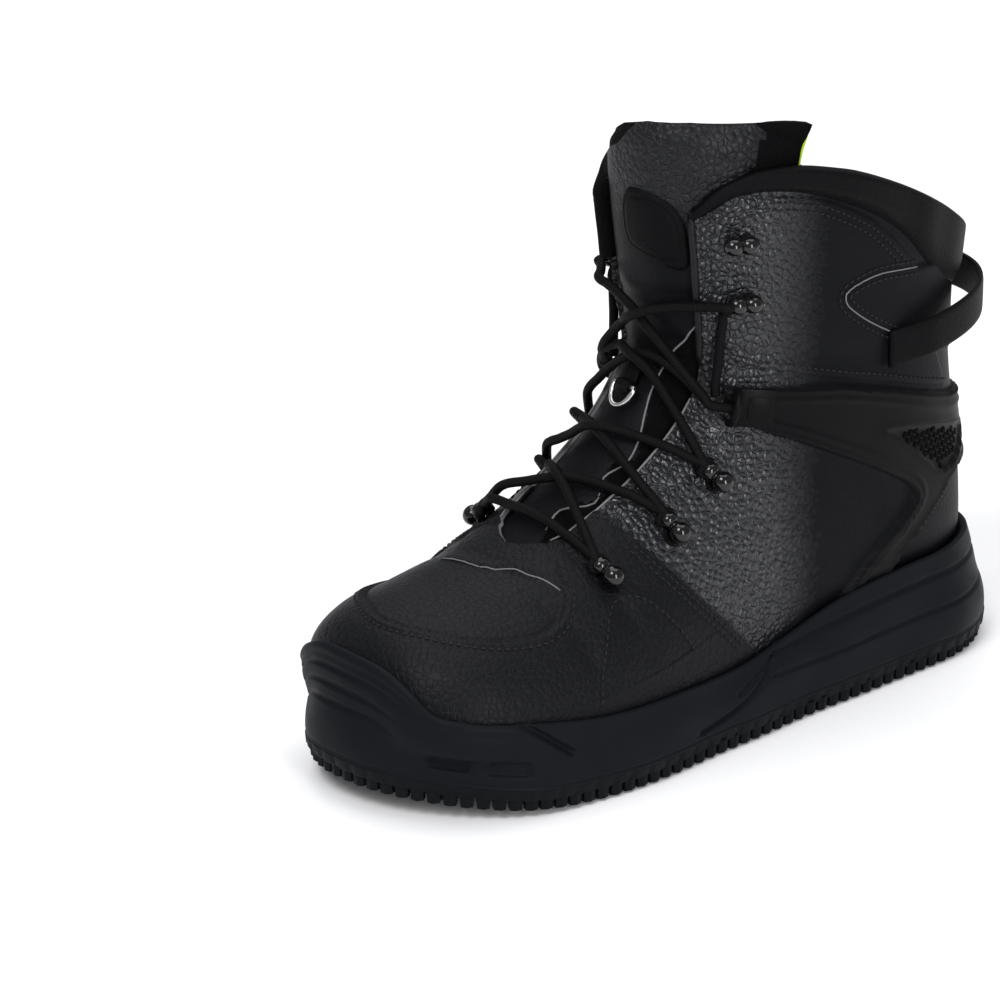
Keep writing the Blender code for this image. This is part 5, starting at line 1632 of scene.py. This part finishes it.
class BOOT_OT_stitching(bpy.types.Operator):
    """Sews the seams with thread, as a block repeated along each, and adds the panels' cut edges, pale as a
    painted highlight
    """

    bl_idname = "boot.stitching"
    bl_label = "Stitching"

    def execute(self, context):
        sizes = context.scene.boot_sizes
        finish = materials()
        lines = []
        for side in (1, -1):
            seam = smooth_points(VAMP_SEAM[1:-1], 10)
            cuff = smooth_points(CUFF[:11], 10)
            low = smooth_points(CUFF[19:] + CUFF[:1], 8)
            vee = smooth_points(VEE[1:9], 8)
            for line, off in ((seam, 2.4), (seam, 5.0), (cuff, 2.6), (cuff, 5.4), (low, 2.6),
                              (vee, -2.4), (vee, 2.6)):
                lines.append(side_seam(offset_line(line, off), side))
            throat = []
            for z in np.linspace(94.0, 150.0, 60):
                hit, normal = beside_instep(Shape.upper, z, side * (throat_half(z) + 3.0))
                if hit is not None:
                    throat.append(hit + normal * THREAD_LIFT * MM)
            lines.append(throat)
        lines.append(side_seam(smooth_points(ARCH_SEAM, 10), 1))
        ring = [top_point(x, y, THREAD_LIFT) for x, y in offset_line(plug_outline(), -3.6) if x > 232]
        lines.append([point for point in ring if point is not None])
        edges = [side_seam(vee, side, 0.1) for side in (1, -1)]
        flap = [top_point(x, y, 0.1) for x, y in smooth_points(FLAP[:6], 6)]
        # Painted highlight: the panels' cut edges are pale, as light catching them
        tubes = tube_mesh("panel_edges", edges + [flap], 0.28 * MM, finish["lit_cut_edge"], 8)
        add_piece("panel_edges", tubes, "leather")
        spots, turns = [], []
        for line in lines:
            if len(line) < 3:
                continue
            at, ahead = even_points(line, sizes.stitch_pitch * MM)
            for spot, way in zip(at, ahead):
                if np.linalg.norm(way) < 1e-5 or np.linalg.norm(way) > 0.006:
                    continue
                spots.append(spot)
                turns.append(tuple(Vector(way).to_track_quat("X", "Z").to_euler()))
        bm = bmesh.new()
        thick = sizes.stitch_radius * MM
        add_ball(bm, Vector(), 1.0, (sizes.stitch_length / 2 * MM, thick, thick), segments=8)
        block = mesh_from("stitch", bm)
        mesh = scatter("stitches", spots, turns, block, finish["thread"])
        mesh.shade_smooth()
        add_piece("stitches", mesh, "leather")
        return {"FINISHED"}


class BOOT_OT_stage(bpy.types.Operator):
    """Sets the pale floor, the soft studio light and the camera"""

    bl_idname = "boot.stage"
    bl_label = "Stage"

    def execute(self, context):
        scene = context.scene
        bm = bmesh.new()
        bmesh.ops.create_grid(bm, x_segments=1, y_segments=1, size=6.0)
        white = plain_material("floor", scene.boot_colours.floor, 0.9)
        floor = bpy.data.objects.new("floor", mesh_from("floor", bm, white))
        floor.location.z = -0.0004
        scene.collection.objects.link(floor)
        world = bpy.data.worlds.new("studio")
        world.use_nodes = True
        sky = world.node_tree.nodes["Background"]
        sky.inputs["Color"].default_value = (0.97, 0.98, 1.0, 1.0)
        sky.inputs["Strength"].default_value = 0.38
        scene.world = world
        scene.view_settings.view_transform = "Standard"
        for name, spot, size, power in (
            ("key", (1.5, 0.5, 2.0), (1.0, 1.0), 32.0),
            ("side", (0.50, 2.05, 0.70), (0.5, 1.3), 24.0),
            ("top", (-0.6, -0.5, 2.6), (3.0, 3.0), 60.0),
        ):
            light = bpy.data.lights.new(name, "AREA")
            light.shape = "RECTANGLE"
            light.size, light.size_y = size
            light.energy = power
            lamp = bpy.data.objects.new(name, light)
            lamp.location = spot
            lamp.rotation_euler = (Vector((0, 0, 0.1)) - Vector(spot)).to_track_quat("-Z", "Y").to_euler()
            scene.collection.objects.link(lamp)
        turn, rise = math.radians(CAMERA["turn"]), math.radians(CAMERA["rise"])
        back = Vector((math.sin(turn) * math.cos(rise), math.cos(turn) * math.cos(rise), math.sin(rise)))
        data = bpy.data.cameras.new("camera")
        data.sensor_width = 36.0
        data.lens = CAMERA["focal_px"] * 36.0 / 1000.0
        data.dof.use_dof = False
        data.clip_end = 50.0
        camera = bpy.data.objects.new("camera", data)
        camera.location = Vector(CAMERA["target"]) + back * CAMERA["distance"]
        camera.rotation_euler = (-back).to_track_quat("-Z", "Y").to_euler()
        scene.collection.objects.link(camera)
        scene.camera = camera
        return {"FINISHED"}


class BOOT_PT_panel(bpy.types.Panel):
    """Buttons that build the boot's groups, and its sizes and colours"""

    bl_idname = "BOOT_PT_panel"
    bl_label = "Wading boot"
    bl_space_type = "VIEW_3D"
    bl_region_type = "UI"
    bl_category = "Boot"

    def draw(self, context):
        for operator in OPERATORS:
            self.layout.operator(operator.bl_idname)
        for group in (context.scene.boot_sizes, context.scene.boot_colours):
            for name in group.bl_rna.properties.keys():
                if name not in ("rna_type", "name"):
                    self.layout.prop(group, name)


OPERATORS = (
    BOOT_OT_upper, BOOT_OT_collar, BOOT_OT_tongue, BOOT_OT_midsole, BOOT_OT_outsole, BOOT_OT_hardware,
    BOOT_OT_lace, BOOT_OT_stitching, BOOT_OT_stage,
)
CLASSES = (BootSizes, BootColours) + OPERATORS + (BOOT_PT_panel,)


def register():
    for cls in CLASSES:
        bpy.utils.register_class(cls)
    bpy.types.Scene.boot_sizes = PointerProperty(type=BootSizes)
    bpy.types.Scene.boot_colours = PointerProperty(type=BootColours)


def unregister():
    del bpy.types.Scene.boot_colours
    del bpy.types.Scene.boot_sizes
    for cls in reversed(CLASSES):
        bpy.utils.unregister_class(cls)


def main():
    """Builds the boot and its stage."""
    register()
    build_last_tree()
    bpy.ops.boot.upper()
    bpy.ops.boot.collar()
    bpy.ops.boot.tongue()
    bpy.ops.boot.midsole()
    bpy.ops.boot.outsole()
    bpy.ops.boot.hardware()
    bpy.ops.boot.lace()
    bpy.ops.boot.stitching()
    bpy.ops.boot.stage()
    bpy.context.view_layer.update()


if __name__ == "__main__":
    main()
